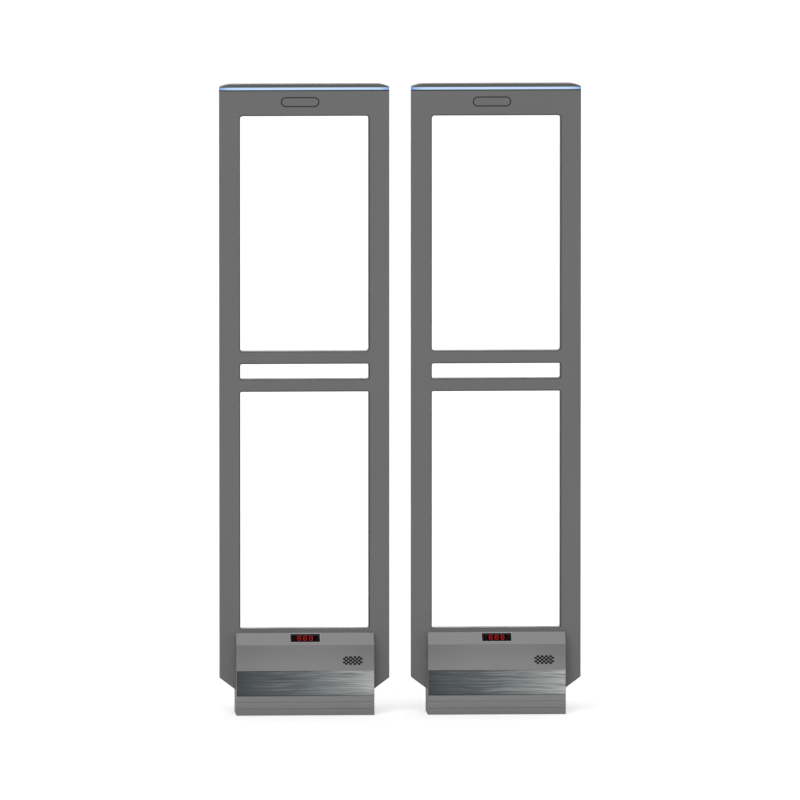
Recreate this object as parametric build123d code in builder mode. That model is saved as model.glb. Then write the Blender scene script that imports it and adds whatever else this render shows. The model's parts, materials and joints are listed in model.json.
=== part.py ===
from build123d import *
import os

# A shop's security gate: two matching anti-theft antenna pedestals that stand side by side.
# Millimetres, +Z up, shoppers' side towards -Y. The origin is on the floor, midway between the
# pedestals. Every piece is modelled for a pedestal centred on x = 0 and then placed at both.

# ---- driving dimensions -------------------------------------------------------------------
overall_height = 1600.0
frame_width = 430.0
frame_depth = 40.0
base_width = 350.0
base_depth = 120.0
passage_width = 56.0        # between the two frames

shell_wall = 3.0
cover_wall = 2.5
assembly_gap = 0.3          # between a lift-off cover and what it sits against
slide_fit = 0.05            # radial room round a small pin or shaft
loose_fit = 0.5             # room round a post, screw or lead that passes through

# Frame: stiles, rails and the three openings
stile_width = 52.0
top_rail_height = 65.0
middle_bar_height = 32.0
slot_height = 38.5
lower_opening_bottom = 217.5
lower_opening_height = 602.0
frame_bottom = 62.0
corner_rise = 30.0
outer_edge_radius = 2.0
opening_edge_radius = 3.5
upper_opening_radius = 7.0
slot_radius = 4.5
lower_opening_radius = 3.8

# Top light and cap
cap_height = 7.5
cap_end_run = 29.0
cap_end_bulge = 1.4
light_height = 8.5
diffuser_wall = 3.5
led_board_thickness = 1.6
led_count = 30
led_length = 5.0
led_height = 1.8

# Blank badge on the top rail
badge_length = 96.0
badge_height = 24.0
badge_offset_x = -11.0
badge_raise = 3.0           # above the top rail's middle
badge_recess = 1.5
badge_groove = 2.2
badge_proud = 0.3

# Antenna coils
coil_side_room = 30.0       # beside a coil, inside its stile, for the screws and leads
coil_thickness = 12.0
coil_corner_radius = 22.0
clip_wall = 2.5
clip_length = 16.0

# Base: plinth, covers, kick plates
plinth_height = 49.0
plinth_wall = 6.0
plinth_groove_heights = (16.5, 34.0)
plinth_groove_width = 1.6
plinth_groove_depth = 1.0
plinth_ledge = 8.0
plinth_ledge_thickness = 3.0
cover_shoulder = 179.5
cover_top = 207.0
slant_run = 26.0
cover_edge_radius = 2.0
kick_plate_height = 64.0
kick_plate_thickness = 1.2
kick_plate_recess = 0.8
kick_plate_margin = 1.0

# Steelwork
base_plate_thickness = 6.0
base_plate_gap = 2.0
anchor_inset_x = 27.0       # from the base plate's edges
anchor_inset_y = 16.0
anchor_hole_radius = 5.5
post_inset = 50.0           # from the base's ends to the posts' middles
post_width = 40.0
post_side_room = 6.0        # before and behind a post, inside the frame, for the leads
post_wall = 2.5
post_top_gap = 4.0          # below the lower coil
foot_width = 70.0
foot_depth = 60.0
foot_thickness = 5.0
cross_bar_height = 20.0
bolt_low_rise = 33.0        # above the frame's bottom
bolt_high_drop = 14.5       # below the posts' top
bolt_radius = 3.0
bolt_head_radius = 5.5
bolt_head_height = 4.0
bolt_boss_radius = 8.0

# Frame screws
screw_radius = 1.75
screw_head_radius = 3.5
screw_head_height = 2.4
screw_length = 24.0
screw_boss_radius = 4.2
screw_inset = 10.0          # from an opening's edge to the screws beside it
top_screw_x = 90.0
top_screw_drop = 12.0
bottom_screw_x = 60.0
bottom_screw_rise = 28.0     # above the frame's bottom

# Display on the front cover's slanted strip
window_length = 73.0
window_height = 23.6
window_thickness = 1.8
window_recess = 1.6
window_lip = 1.5
window_gap = 0.2
window_rise = 3.0           # above the middle of the strip
display_length = 66.0
display_height = 18.0
display_thickness = 8.0
display_gap = 1.0
display_shelf_thickness = 4.0

# Speaker and its grille
speaker_inset = 55.0        # from the base's right end
speaker_height = 139.0
speaker_radius = 25.0
speaker_rim = 3.0
speaker_gap = 3.0           # from the rim to the inside of the cover
magnet_radius = 15.0
magnet_length = 15.0
cone_thickness = 0.8
grille_rows = 5
grille_short_row = 4        # holes; every second row has one more
grille_row_pitch = 4.3
grille_hole_pitch = 10.8
grille_hole_length = 6.0
grille_hole_height = 3.6

# Electronics. A component is x, z, width, height and rise, with x and z from the board's middle.
board_left_inset = 15.0     # from the base's left end
board_speaker_gap = 20.0
board_rise = 12.0           # above the frame's bottom
board_height = 95.0
board_thickness = 1.6
standoff_length = 8.0
standoff_radius = 3.0
standoff_inset = 6.0
supply_length = 150.0
supply_height = 90.0
supply_room = 5.5           # between its lid and the rear cover
vent_count = 9
vent_pitch = 10.0
vent_length = 60.0
vent_width = 3.0
CHIPS = ((-28, -2, 14, 14, 2), (4, -30, 10, 16, 2), (42, -22, 20, 8, 3), (56, 20, 12, 12, 2))
CONNECTORS = ((-58, -38, 24, 8, 10), (38, -41, 30, 8, 10), (82, 38, 20, 7, 9))
CAPACITORS = ((22, 28), (40, 28), (-68, 30), (-86, 30))
capacitor_radius = 6.0
capacitor_length = 18.0
heat_sink_x = 94.0
heat_sink_z = 10.0
heat_sink_base = 3.0
fin_count = 6
fin_thickness = 1.6
fin_pitch = 5.0
fin_height = 36.0
fin_rise = 18.0
knob_x = 92.0
knob_z = -26.0
knob_radius = 6.5
knob_length = 11.0
knob_pointer = 1.0          # width and depth of its pointer line
knob_shaft_radius = 1.5
knob_shaft_length = 6.0
pot_radius = 5.0
pot_length = 10.0
switch_x = -96.0
switch_z = -22.0
switch_width = 15.0
switch_tall = 22.0
switch_depth = 15.0
switch_wall = 1.8
rocker_tilt = 8.0
rocker_half_height = 7.6
rocker_thickness = 5.0
rocker_pin_radius = 1.0
rocker_pin_depth = 4.0      # behind the switch's front edge
rocker_back = 2.0
rocker_back_half_height = 3.0
rocker_hollow = 1.2
terminal_inset = 45.0       # from a post's middle to its terminal block's
terminal_width = 40.0
terminal_depth = 20.0
terminal_height = 38.0

# Leads inside the stiles, and the floor cable's entry
lead_radius = 2.0
lead_gap = 0.6              # behind the posts
lead_inset = 11.0           # from the frame's side
lead_drop = 30.0            # its lower bend, below the posts' cross bar
lead_rise = 45.0            # its upper bend, above the cross bar
lead_bend_radius = 55.0
antenna_lead_rise = 20.0    # of its joint with the upper coil, above that coil's opening
antenna_lead_run = 30.0
antenna_lead_radius = 40.0
grommet_bore_radius = 9.0
grommet_body_radius = 15.0
grommet_flange_radius = 19.0
grommet_flange_thickness = 3.0

# Clips that hold the covers on
clip_leaf_thickness = 1.0
clip_foot_length = 14.0
clip_leaf_length = 16.0
clip_leaf_height = 20.0
clip_rise = 48.0            # above the frame's bottom

# ---- worked-out places --------------------------------------------------------------------
pedestal_spacing = frame_width + passage_width
half_depth = frame_depth / 2
half_width = frame_width / 2
opening_width = frame_width - 2 * stile_width
post_depth = frame_depth - 2 * (shell_wall + post_side_room)
coil_width = stile_width - 2 * shell_wall - coil_side_room
light_bottom = overall_height - cap_height - light_height
light_top = light_bottom + light_height
lower_opening_top = lower_opening_bottom + lower_opening_height
slot_bottom = lower_opening_top + middle_bar_height
slot_top = slot_bottom + slot_height
upper_opening_bottom = slot_top + middle_bar_height
upper_opening_top = light_bottom - top_rail_height
base_front = base_depth / 2
cover_bottom = plinth_height + assembly_gap
cover_back = half_depth + assembly_gap
cover_inside = base_front - cover_wall
inner_half_width = base_width / 2 - cover_wall
stile_middle = half_width - stile_width / 2
screw_x = opening_width / 2 + screw_inset
badge_middle = (light_bottom + upper_opening_top) / 2 + badge_raise
post_top = lower_opening_bottom - stile_width / 2 - coil_width / 2 - post_top_gap
board_face = half_depth + standoff_length + board_thickness
bolt_heights = (frame_bottom + bolt_low_rise, post_top - bolt_high_drop)
cross_bar_middle = sum(bolt_heights) / 2
plinth_inner_width = base_width - 2 * plinth_wall
plinth_inner_depth = base_depth - 2 * plinth_wall
base_plate_width = plinth_inner_width - 2 * base_plate_gap
base_plate_depth = plinth_inner_depth - 2 * base_plate_gap
anchor_spacing_x = base_plate_width - 2 * anchor_inset_x
anchor_spacing_y = base_plate_depth - 2 * anchor_inset_y
post_spacing = base_width - 2 * post_inset
terminal_x = post_spacing / 2 - terminal_inset
lead_x = half_width - lead_inset
lead_y = post_depth / 2 + lead_gap + lead_radius
speaker_x = base_width / 2 - speaker_inset
board_left = -base_width / 2 + board_left_inset
board_right = speaker_x - speaker_radius - board_speaker_gap
board_bottom = frame_bottom + board_rise
board_size = (board_right - board_left, board_height)
board_middle = ((board_left + board_right) / 2, board_bottom + board_height / 2)
supply_thickness = cover_inside - half_depth - supply_room
OPENINGS = (
    (lower_opening_bottom, lower_opening_top, lower_opening_radius),
    (slot_bottom, slot_top, slot_radius),
    (upper_opening_bottom, upper_opening_top, upper_opening_radius),
)
ANTENNA_OPENINGS = (OPENINGS[0], OPENINGS[2])
SCREW_SPOTS = (
    [
        (side * screw_x, (low + high) / 2 + step * (high - low) / 3)
        for side in (-1, 1)
        for low, high, radius in ANTENNA_OPENINGS
        for step in (-1, 1)
    ]
    + [(side * top_screw_x, light_bottom - top_screw_drop) for side in (-1, 1)]
    + [(side * bottom_screw_x, frame_bottom + bottom_screw_rise) for side in (-1, 1)]
)
BOLT_SPOTS = [(side * post_spacing / 2, z) for side in (-1, 1) for z in bolt_heights]


def at_depth(y):
    """The plane y = constant, facing -Y, with sketch axes X and Z."""
    return Plane.XZ.offset(-y)


def frame_face(inset):
    """Draws the frame's front view in the current sketch: outline shrunk and openings grown by inset."""
    Polygon(
        (-half_width, light_bottom),
        (-half_width, frame_bottom + corner_rise),
        (-base_width / 2, frame_bottom),
        (base_width / 2, frame_bottom),
        (half_width, frame_bottom + corner_rise),
        (half_width, light_bottom),
        align=None,
    )
    if inset:
        offset(amount=-inset, kind=Kind.INTERSECTION)
    for low, high, radius in OPENINGS:
        with Locations((0, (low + high) / 2)):
            RectangleRounded(
                opening_width + 2 * inset, high - low + 2 * inset, radius + inset, mode=Mode.SUBTRACT
            )


def cylinders(spots, radius, near, far, mode=Mode.ADD):
    """Round bars or holes along Y from near to far, at (x, z) spots."""
    with Locations(*[Location((x, (near + far) / 2, z), (90, 0, 0)) for x, z in spots]):
        Cylinder(radius, far - near, mode=mode)


# ---- frame --------------------------------------------------------------------------------
with BuildPart() as half_shell:
    with BuildSketch(Plane.XZ):
        frame_face(0)
    extrude(amount=half_depth)
    outer_edges = half_shell.faces().sort_by(Axis.Y)[0].outer_wire().edges()
    fillet(outer_edges.sort_by(Axis.Z)[:-1], radius=outer_edge_radius)
    opening_edges = [
        edge
        for wire in half_shell.faces().sort_by(Axis.Y)[0].inner_wires()
        for edge in wire.edges()
    ]
    fillet(opening_edges, radius=opening_edge_radius)
    with BuildSketch(Plane.XZ):
        frame_face(shell_wall)
    extrude(amount=half_depth - shell_wall, mode=Mode.SUBTRACT)
    # spacers that the frame bolts pull against the steel posts
    cylinders(BOLT_SPOTS, bolt_boss_radius, -(half_depth - shell_wall), -post_depth / 2)
    cylinders(BOLT_SPOTS, bolt_radius + loose_fit, -half_depth, 0, mode=Mode.SUBTRACT)
    # the posts come up through the bottom wall
    with BuildSketch(Plane.XY.offset(frame_bottom)):
        with GridLocations(post_spacing, 0, 2, 1):
            Rectangle(post_width + 2 * loose_fit, post_depth + 2 * loose_fit)
        with GridLocations(2 * terminal_x, 0, 2, 1):
            Rectangle(terminal_width / 2, frame_depth - 2 * shell_wall)
    extrude(amount=shell_wall, mode=Mode.SUBTRACT)

with BuildPart() as front_frame_shell:
    add(half_shell.part)
    cylinders(SCREW_SPOTS, screw_boss_radius, -(half_depth - shell_wall), 0)
    cylinders(SCREW_SPOTS, screw_radius + slide_fit, -(half_depth - shell_wall), 0, mode=Mode.SUBTRACT)
    with BuildSketch(at_depth(-half_depth)):
        with Locations((badge_offset_x, badge_middle)):
            SlotOverall(badge_length, badge_height)
    extrude(amount=-badge_recess, mode=Mode.SUBTRACT)

with BuildPart() as rear_frame_shell:
    mirror(half_shell.part, about=Plane.XZ)
    cylinders(SCREW_SPOTS, screw_boss_radius, 0, half_depth - shell_wall)
    cylinders(SCREW_SPOTS, screw_radius + loose_fit, 0, half_depth, mode=Mode.SUBTRACT)
    head_room = half_depth - screw_head_height
    cylinders(SCREW_SPOTS, screw_head_radius + loose_fit, head_room, half_depth, mode=Mode.SUBTRACT)
    with BuildSketch(Plane.XY.offset(light_bottom)):
        with Locations((lead_x, lead_y)):
            Circle(lead_radius + loose_fit)
    extrude(amount=-shell_wall, mode=Mode.SUBTRACT)

with BuildPart() as frame_screws:
    cylinders(SCREW_SPOTS, screw_radius, half_depth - screw_length, half_depth)
    cylinders(SCREW_SPOTS, screw_head_radius, half_depth - screw_head_height, half_depth)

with BuildPart() as frame_bolts:
    cylinders(BOLT_SPOTS, bolt_radius, -half_depth, half_depth + bolt_head_height)
    for face_y, direction in ((-half_depth, 1), (half_depth, -1)):
        with BuildSketch(at_depth(face_y)):
            with Locations(*BOLT_SPOTS):
                RegularPolygon(bolt_head_radius, 6)
        extrude(amount=direction * bolt_head_height)

with BuildPart() as badge_plate:
    with BuildSketch(at_depth(-half_depth + badge_recess)):
        with Locations((badge_offset_x, badge_middle)):
            SlotOverall(badge_length - 2 * badge_groove, badge_height - 2 * badge_groove)
    extrude(amount=badge_recess + badge_proud)
    fillet(badge_plate.faces().sort_by(Axis.Y)[0].edges(), radius=badge_proud)

# ---- top light and cap --------------------------------------------------------------------
with BuildPart() as light_diffuser:
    with BuildSketch(Plane.XY.offset(light_bottom)):
        Rectangle(frame_width, frame_depth)
        Rectangle(
            frame_width - 2 * diffuser_wall, frame_depth - 2 * diffuser_wall, mode=Mode.SUBTRACT
        )
    extrude(amount=light_height)
    upright_edges = light_diffuser.edges().filter_by(Axis.Z)
    fillet(upright_edges.sort_by(SortBy.DISTANCE)[-4:], radius=outer_edge_radius)

with BuildPart() as led_board:
    with BuildSketch(Plane.XY.offset(light_bottom)):
        Rectangle(
            frame_width - 2 * (diffuser_wall + loose_fit), frame_depth - 2 * (diffuser_wall + loose_fit)
        )
    extrude(amount=led_board_thickness)

with BuildPart() as led_chips:
    led_pitch = (frame_width - 2 * diffuser_wall - led_length) / led_count
    with BuildSketch(Plane.XY.offset(light_bottom + led_board_thickness)):
        with GridLocations(led_pitch, frame_depth / 2, led_count, 2):
            Rectangle(led_length, led_length)
    extrude(amount=led_height)

with BuildPart() as top_cap:
    with BuildSketch(at_depth(half_depth)):
        with BuildLine():
            flat_half = half_width - cap_end_run
            Line((-flat_half, overall_height), (flat_half, overall_height))
            for side in (-1, 1):
                ThreePointArc(
                    (side * flat_half, overall_height),
                    (side * (half_width - cap_end_run / 2), overall_height - cap_height / 2 + cap_end_bulge),
                    (side * half_width, light_top),
                )
            Line((-half_width, light_top), (half_width, light_top))
        make_face()
    extrude(amount=frame_depth)
    top_face = top_cap.faces().sort_by(Axis.Z)[-1]
    fillet(top_face.edges().filter_by(Axis.X), radius=outer_edge_radius)
    # hollow underneath
    with BuildSketch(Plane.XY.offset(light_top)):
        Rectangle(frame_width - 2 * cap_end_run, frame_depth - 2 * diffuser_wall)
    extrude(amount=cap_height - cover_wall, mode=Mode.SUBTRACT)

# ---- antenna coils ------------------------------------------------------------------------
def coil_frame(low, high):
    """Centre height and centre-line height of the coil that runs round one opening."""
    bar = middle_bar_height / 2
    rail = stile_width / 2
    bottom = low - (rail if low < slot_bottom else bar)
    top = high + (bar if low < slot_bottom else rail)
    return (bottom + top) / 2, top - bottom


def coil_outline(low, high):
    """Draws the coil round the opening from low to high in the current sketch."""
    middle, height = coil_frame(low, high)
    with Locations((0, middle)):
        RectangleRounded(
            2 * stile_middle + coil_width, height + coil_width, coil_corner_radius + coil_width / 2
        )
        RectangleRounded(
            2 * stile_middle - coil_width,
            height - coil_width,
            coil_corner_radius - coil_width / 2,
            mode=Mode.SUBTRACT,
        )


with BuildPart() as upper_antenna_coil:
    with BuildSketch(at_depth(coil_thickness / 2)):
        coil_outline(upper_opening_bottom, upper_opening_top)
    extrude(amount=coil_thickness)

with BuildPart() as lower_antenna_coil:
    with BuildSketch(at_depth(coil_thickness / 2)):
        coil_outline(lower_opening_bottom, lower_opening_top)
    extrude(amount=coil_thickness)

# U-shaped saddles on the rear shell's inside, two on each upright run of each coil
clip_back = half_depth - shell_wall
clip_front = -coil_thickness / 2 + clip_wall
CLIP_SPOTS = [
    (side * stile_middle, coil_frame(low, high)[0] + step * (high - low) / 4)
    for low, high, radius in ANTENNA_OPENINGS
    for side in (-1, 1)
    for step in (-1, 1)
]
with BuildPart() as coil_clips:
    with BuildSketch(at_depth(clip_back)):
        with Locations(*CLIP_SPOTS):
            Rectangle(coil_width + 2 * (clip_wall + slide_fit), clip_length)
    extrude(amount=clip_back - clip_front)
    with BuildSketch(at_depth(coil_thickness / 2)):
        with Locations(*CLIP_SPOTS):
            Rectangle(coil_width + 2 * slide_fit, clip_length)
    extrude(amount=coil_thickness, mode=Mode.SUBTRACT)

# ---- steelwork ----------------------------------------------------------------------------
with BuildPart() as base_plate:
    with BuildSketch():
        RectangleRounded(base_plate_width, base_plate_depth, outer_edge_radius)
        with GridLocations(anchor_spacing_x, anchor_spacing_y, 2, 2):
            Circle(anchor_hole_radius, mode=Mode.SUBTRACT)
        Circle(grommet_body_radius + slide_fit, mode=Mode.SUBTRACT)
    extrude(amount=base_plate_thickness)

with BuildPart() as upright_bracket:
    with BuildSketch(Plane.XY.offset(base_plate_thickness)):
        with GridLocations(post_spacing, 0, 2, 1):
            RectangleRounded(foot_width, foot_depth, outer_edge_radius)
    extrude(amount=foot_thickness)
    with BuildSketch(Plane.XY.offset(base_plate_thickness)):
        with GridLocations(post_spacing, 0, 2, 1):
            RectangleRounded(post_width, post_depth, outer_edge_radius)
    extrude(amount=post_top - base_plate_thickness)
    with BuildSketch(Plane.XY.offset(cross_bar_middle - cross_bar_height / 2)):
        Rectangle(post_spacing, post_depth - 2 * post_wall)
    extrude(amount=cross_bar_height)
    with BuildSketch(Plane.XY.offset(base_plate_thickness)):
        with GridLocations(post_spacing, 0, 2, 1):
            Rectangle(post_width - 2 * post_wall, post_depth - 2 * post_wall)
    extrude(amount=post_top, mode=Mode.SUBTRACT)
    cylinders(BOLT_SPOTS, bolt_radius + loose_fit, -post_depth / 2, post_depth / 2, mode=Mode.SUBTRACT)

with BuildPart() as cable_grommet:
    with BuildSketch():
        Circle(grommet_body_radius)
    extrude(amount=base_plate_thickness)
    with BuildSketch(Plane.XY.offset(base_plate_thickness)):
        Circle(grommet_flange_radius)
    extrude(amount=grommet_flange_thickness)
    with BuildSketch():
        Circle(grommet_bore_radius)
    extrude(amount=base_plate_thickness + grommet_flange_thickness, mode=Mode.SUBTRACT)

# ---- base trim ----------------------------------------------------------------------------
with BuildPart() as plinth:
    with BuildSketch():
        RectangleRounded(base_width, base_depth, cover_edge_radius)
        Rectangle(plinth_inner_width, plinth_inner_depth, mode=Mode.SUBTRACT)
    extrude(amount=plinth_height)
    # ledge that sits on the base plate
    with BuildSketch(Plane.XY.offset(base_plate_thickness)):
        Rectangle(plinth_inner_width, plinth_inner_depth)
        Rectangle(
            plinth_inner_width - 2 * plinth_ledge,
            plinth_inner_depth - 2 * plinth_ledge,
            mode=Mode.SUBTRACT,
        )
    extrude(amount=plinth_ledge_thickness)
    for groove_height in plinth_groove_heights:
        with BuildSketch(Plane.XY.offset(groove_height - plinth_groove_width / 2)):
            Rectangle(base_width, base_depth)
            RectangleRounded(
                base_width - 2 * plinth_groove_depth,
                base_depth - 2 * plinth_groove_depth,
                cover_edge_radius,
                mode=Mode.SUBTRACT,
            )
        extrude(amount=plinth_groove_width, mode=Mode.SUBTRACT)


def cover_profile():
    """Draws the front cover's side view, Y across and Z up, in the current sketch."""
    Polygon(
        (-base_front, cover_bottom),
        (-cover_back, cover_bottom),
        (-cover_back, cover_top),
        (-base_front + slant_run, cover_top),
        (-base_front, cover_shoulder),
        align=None,
    )


def kick_plate_outline():
    """Draws the kick plate in the current sketch, along the cover's lower edge."""
    with Locations((0, cover_bottom + kick_plate_height / 2)):
        Rectangle(base_width - 2 * kick_plate_margin, kick_plate_height)


with BuildPart() as plain_cover:
    with BuildSketch(Plane.YZ):
        cover_profile()
    extrude(amount=base_width / 2, both=True)
    # round every outer edge but those of the open back and underside
    shown_edges = plain_cover.edges().filter_by(
        lambda edge: edge.center().Y < -cover_back - slide_fit and edge.center().Z > cover_bottom + slide_fit
    )
    fillet(shown_edges, radius=cover_edge_radius)
    with BuildSketch(Plane.YZ):
        cover_profile()
        offset(amount=-cover_wall, kind=Kind.INTERSECTION)
    extrude(amount=inner_half_width, both=True, mode=Mode.SUBTRACT)
    # open at the back and underneath
    with BuildSketch(at_depth(-cover_back)):
        with Locations((0, (cover_bottom + cover_top - cover_wall) / 2)):
            Rectangle(2 * inner_half_width, cover_top - cover_wall - cover_bottom)
    extrude(amount=cover_wall, mode=Mode.SUBTRACT)
    with BuildSketch(Plane.XY.offset(cover_bottom)):
        with Locations((0, -(cover_inside + cover_back) / 2)):
            Rectangle(2 * inner_half_width, cover_inside - cover_back)
    extrude(amount=cover_wall, mode=Mode.SUBTRACT)
    # the end walls reach under the frame and meet the other cover's
    with BuildSketch(Plane.XY.offset(cover_bottom)):
        with GridLocations(base_width - cover_wall, 0, 2, 1):
            with Locations((0, -(cover_back + cover_wall + assembly_gap / 2) / 2)):
                Rectangle(cover_wall, cover_back + cover_wall - assembly_gap / 2)
    extrude(amount=frame_bottom - assembly_gap - cover_bottom)
    # shallow recess for the kick plate
    with BuildSketch(at_depth(-base_front)):
        kick_plate_outline()
    extrude(amount=-kick_plate_recess, mode=Mode.SUBTRACT)

with BuildPart() as front_kick_plate:
    with BuildSketch(at_depth(-base_front + kick_plate_recess)):
        kick_plate_outline()
    extrude(amount=kick_plate_thickness)

slant_rise = cover_top - cover_shoulder
strip = Plane(
    origin=(0, -base_front + slant_run / 2, cover_shoulder + slant_rise / 2),
    x_dir=(1, 0, 0),
    z_dir=(0, -slant_rise, slant_run),
)
GRILLE_SPOTS = [
    (
        speaker_x + (hole - (grille_short_row + row % 2 - 1) / 2) * grille_hole_pitch,
        speaker_height + (row - (grille_rows - 1) / 2) * grille_row_pitch,
    )
    for row in range(grille_rows)
    for hole in range(grille_short_row + row % 2)
]
with BuildPart() as front_cover:
    add(plain_cover.part)
    with BuildSketch(at_depth(-base_front)):
        with Locations(*GRILLE_SPOTS):
            SlotOverall(grille_hole_length, grille_hole_height)
    extrude(amount=-cover_wall, mode=Mode.SUBTRACT)
    with BuildSketch(strip):
        with Locations((0, window_rise)):
            Rectangle(window_length, window_height)
    extrude(amount=-window_recess, mode=Mode.SUBTRACT)
    with BuildSketch(strip):
        with Locations((0, window_rise)):
            Rectangle(window_length - 2 * window_lip, window_height - 2 * window_lip)
    extrude(amount=-2 * cover_wall, mode=Mode.SUBTRACT)

with BuildPart() as display_window:
    with BuildSketch(strip.offset(-window_recess)):
        with Locations((0, window_rise)):
            Rectangle(window_length - 2 * window_gap, window_height - 2 * window_gap)
    extrude(amount=window_thickness)

with BuildPart() as rear_cover:
    mirror(plain_cover.part, about=Plane.XZ)

with BuildPart() as rear_kick_plate:
    mirror(front_kick_plate.part, about=Plane.XZ)

# Leaf springs that grip the covers' end walls from inside
leaf_x = inner_half_width - assembly_gap - clip_leaf_thickness / 2
with BuildPart() as cover_clips:
    for side in (-1, 1):
        for face_y, direction in ((-half_depth, 1), (half_depth, -1)):
            with BuildSketch(at_depth(face_y)):
                with Locations((side * (leaf_x - clip_foot_length / 2), frame_bottom + clip_rise)):
                    Rectangle(clip_foot_length + clip_leaf_thickness, clip_leaf_height)
            extrude(amount=direction * clip_leaf_thickness)
            with BuildSketch(at_depth(face_y)):
                with Locations((side * leaf_x, frame_bottom + clip_rise)):
                    Rectangle(clip_leaf_thickness, clip_leaf_height)
            extrude(amount=direction * clip_leaf_length)

# ---- display and speaker ------------------------------------------------------------------
with BuildPart() as display_module:
    with BuildSketch(strip.offset(-cover_wall - display_gap)):
        with Locations((0, window_rise)):
            Rectangle(display_length, display_height)
    extrude(amount=-display_thickness)
    shelf_height = display_module.part.bounding_box().min.Z
    shelf_front = display_module.part.center().Y
    with BuildSketch(Plane.XY.offset(shelf_height)):
        with Locations((0, (shelf_front - half_depth) / 2)):
            Rectangle(display_length, -half_depth - shelf_front)
    extrude(amount=display_shelf_thickness)

rim_front = cover_inside - speaker_gap
speaker_axis = Plane(origin=(speaker_x, 0, speaker_height), x_dir=(1, 0, 0), z_dir=(0, 0, 1))
turning_axis = Axis((speaker_x, 0, speaker_height), (0, 1, 0))
with BuildPart() as speaker:
    with BuildSketch(speaker_axis):
        with BuildLine():
            Polyline(
                (0, -half_depth),
                (magnet_radius, -half_depth),
                (magnet_radius, -half_depth - magnet_length),
                (speaker_radius - speaker_rim, -rim_front + 2 * speaker_rim),
                (speaker_radius, -rim_front + speaker_rim),
                (speaker_radius, -rim_front),
                (speaker_radius - speaker_rim, -rim_front),
                (magnet_radius / 2, -half_depth - magnet_length - speaker_rim),
                (0, -half_depth - magnet_length - speaker_rim),
                close=True,
            )
        make_face()
    revolve(axis=turning_axis)

with BuildPart() as speaker_cone:
    cone_back = -half_depth - magnet_length - speaker_rim
    with BuildSketch(speaker_axis):
        with BuildLine():
            Polyline(
                (0, cone_back),
                (magnet_radius / 2, cone_back),
                (speaker_radius - speaker_rim, -rim_front),
                (speaker_radius - speaker_rim, -rim_front - cone_thickness),
                (magnet_radius / 2, cone_back - cone_thickness),
                (0, cone_back - 2 * cone_thickness),
                close=True,
            )
        make_face()
    revolve(axis=turning_axis)

# ---- electronics --------------------------------------------------------------------------
with BuildPart() as control_board:
    with BuildSketch(at_depth(-half_depth - standoff_length)):
        with Locations(board_middle):
            Rectangle(*board_size)
    extrude(amount=board_thickness)

with BuildPart() as board_standoffs:
    with BuildSketch(at_depth(-half_depth)):
        with Locations(board_middle):
            with GridLocations(
                (board_size[0] - 2 * standoff_inset) / 2, board_size[1] - 2 * standoff_inset, 3, 2
            ):
                RegularPolygon(standoff_radius, 6)
    extrude(amount=standoff_length)


def on_board(x, z, width, height, rise):
    """A boxy component on the control board's front, centred at x, z from the board's middle."""
    with Locations((board_middle[0] + x, -board_face - rise / 2, board_middle[1] + z)):
        Box(width, rise, height)


KNOB = (board_middle[0] + knob_x, board_middle[1] + knob_z)
SWITCH = (board_middle[0] + switch_x, board_middle[1] + switch_z)
heat_sink_width = (fin_count - 1) * fin_pitch + fin_thickness
with BuildPart() as board_components:
    for chip in CHIPS + CONNECTORS:
        on_board(*chip)
    cans = [(board_middle[0] + x, board_middle[1] + z) for x, z in CAPACITORS]
    cylinders(cans, capacitor_radius, -board_face - capacitor_length, -board_face)
    # finned heat sink
    on_board(heat_sink_x, heat_sink_z, heat_sink_width, fin_height, heat_sink_base)
    for fin in range(fin_count):
        fin_x = heat_sink_x + (fin - (fin_count - 1) / 2) * fin_pitch
        on_board(fin_x, heat_sink_z, fin_thickness, fin_height, fin_rise)
    # body that the volume knob's shaft turns in
    cylinders([KNOB], pot_radius, -board_face - pot_length, -board_face)
    cylinders(
        [KNOB],
        knob_shaft_radius + slide_fit,
        -board_face - pot_length,
        -board_face - pot_length + knob_shaft_length + loose_fit,
        mode=Mode.SUBTRACT,
    )

knob_back = -board_face - pot_length - assembly_gap
with BuildPart() as volume_knob:
    cylinders([KNOB], knob_radius, knob_back - knob_length, knob_back)
    chamfer(volume_knob.faces().sort_by(Axis.Y)[0].edges(), length=knob_pointer)
    with BuildSketch(at_depth(knob_back - knob_length)):
        with Locations((KNOB[0], KNOB[1] + knob_radius / 2)):
            Rectangle(knob_pointer, knob_radius)
    extrude(amount=-knob_pointer, mode=Mode.SUBTRACT)
    cylinders(
        [KNOB],
        knob_shaft_radius,
        knob_back,
        -board_face - pot_length + knob_shaft_length,
    )

switch_front = board_face + switch_depth
rocker_pivot_y = -(switch_front - rocker_pin_depth)
rocker_width = switch_width - 2 * (switch_wall + assembly_gap)
with BuildPart() as power_switch_body:
    on_board(switch_x, switch_z, switch_width, switch_tall, switch_depth)
    with BuildSketch(at_depth(-switch_front)):
        with Locations(SWITCH):
            Rectangle(switch_width - 2 * switch_wall, switch_tall - 2 * switch_wall)
    extrude(amount=-2 * rocker_pin_depth, mode=Mode.SUBTRACT)
    with BuildSketch(Plane.YZ.offset(SWITCH[0] - switch_width / 2)):
        with Locations((rocker_pivot_y, SWITCH[1])):
            Circle(rocker_pin_radius + slide_fit)
    extrude(amount=switch_width, mode=Mode.SUBTRACT)

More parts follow.
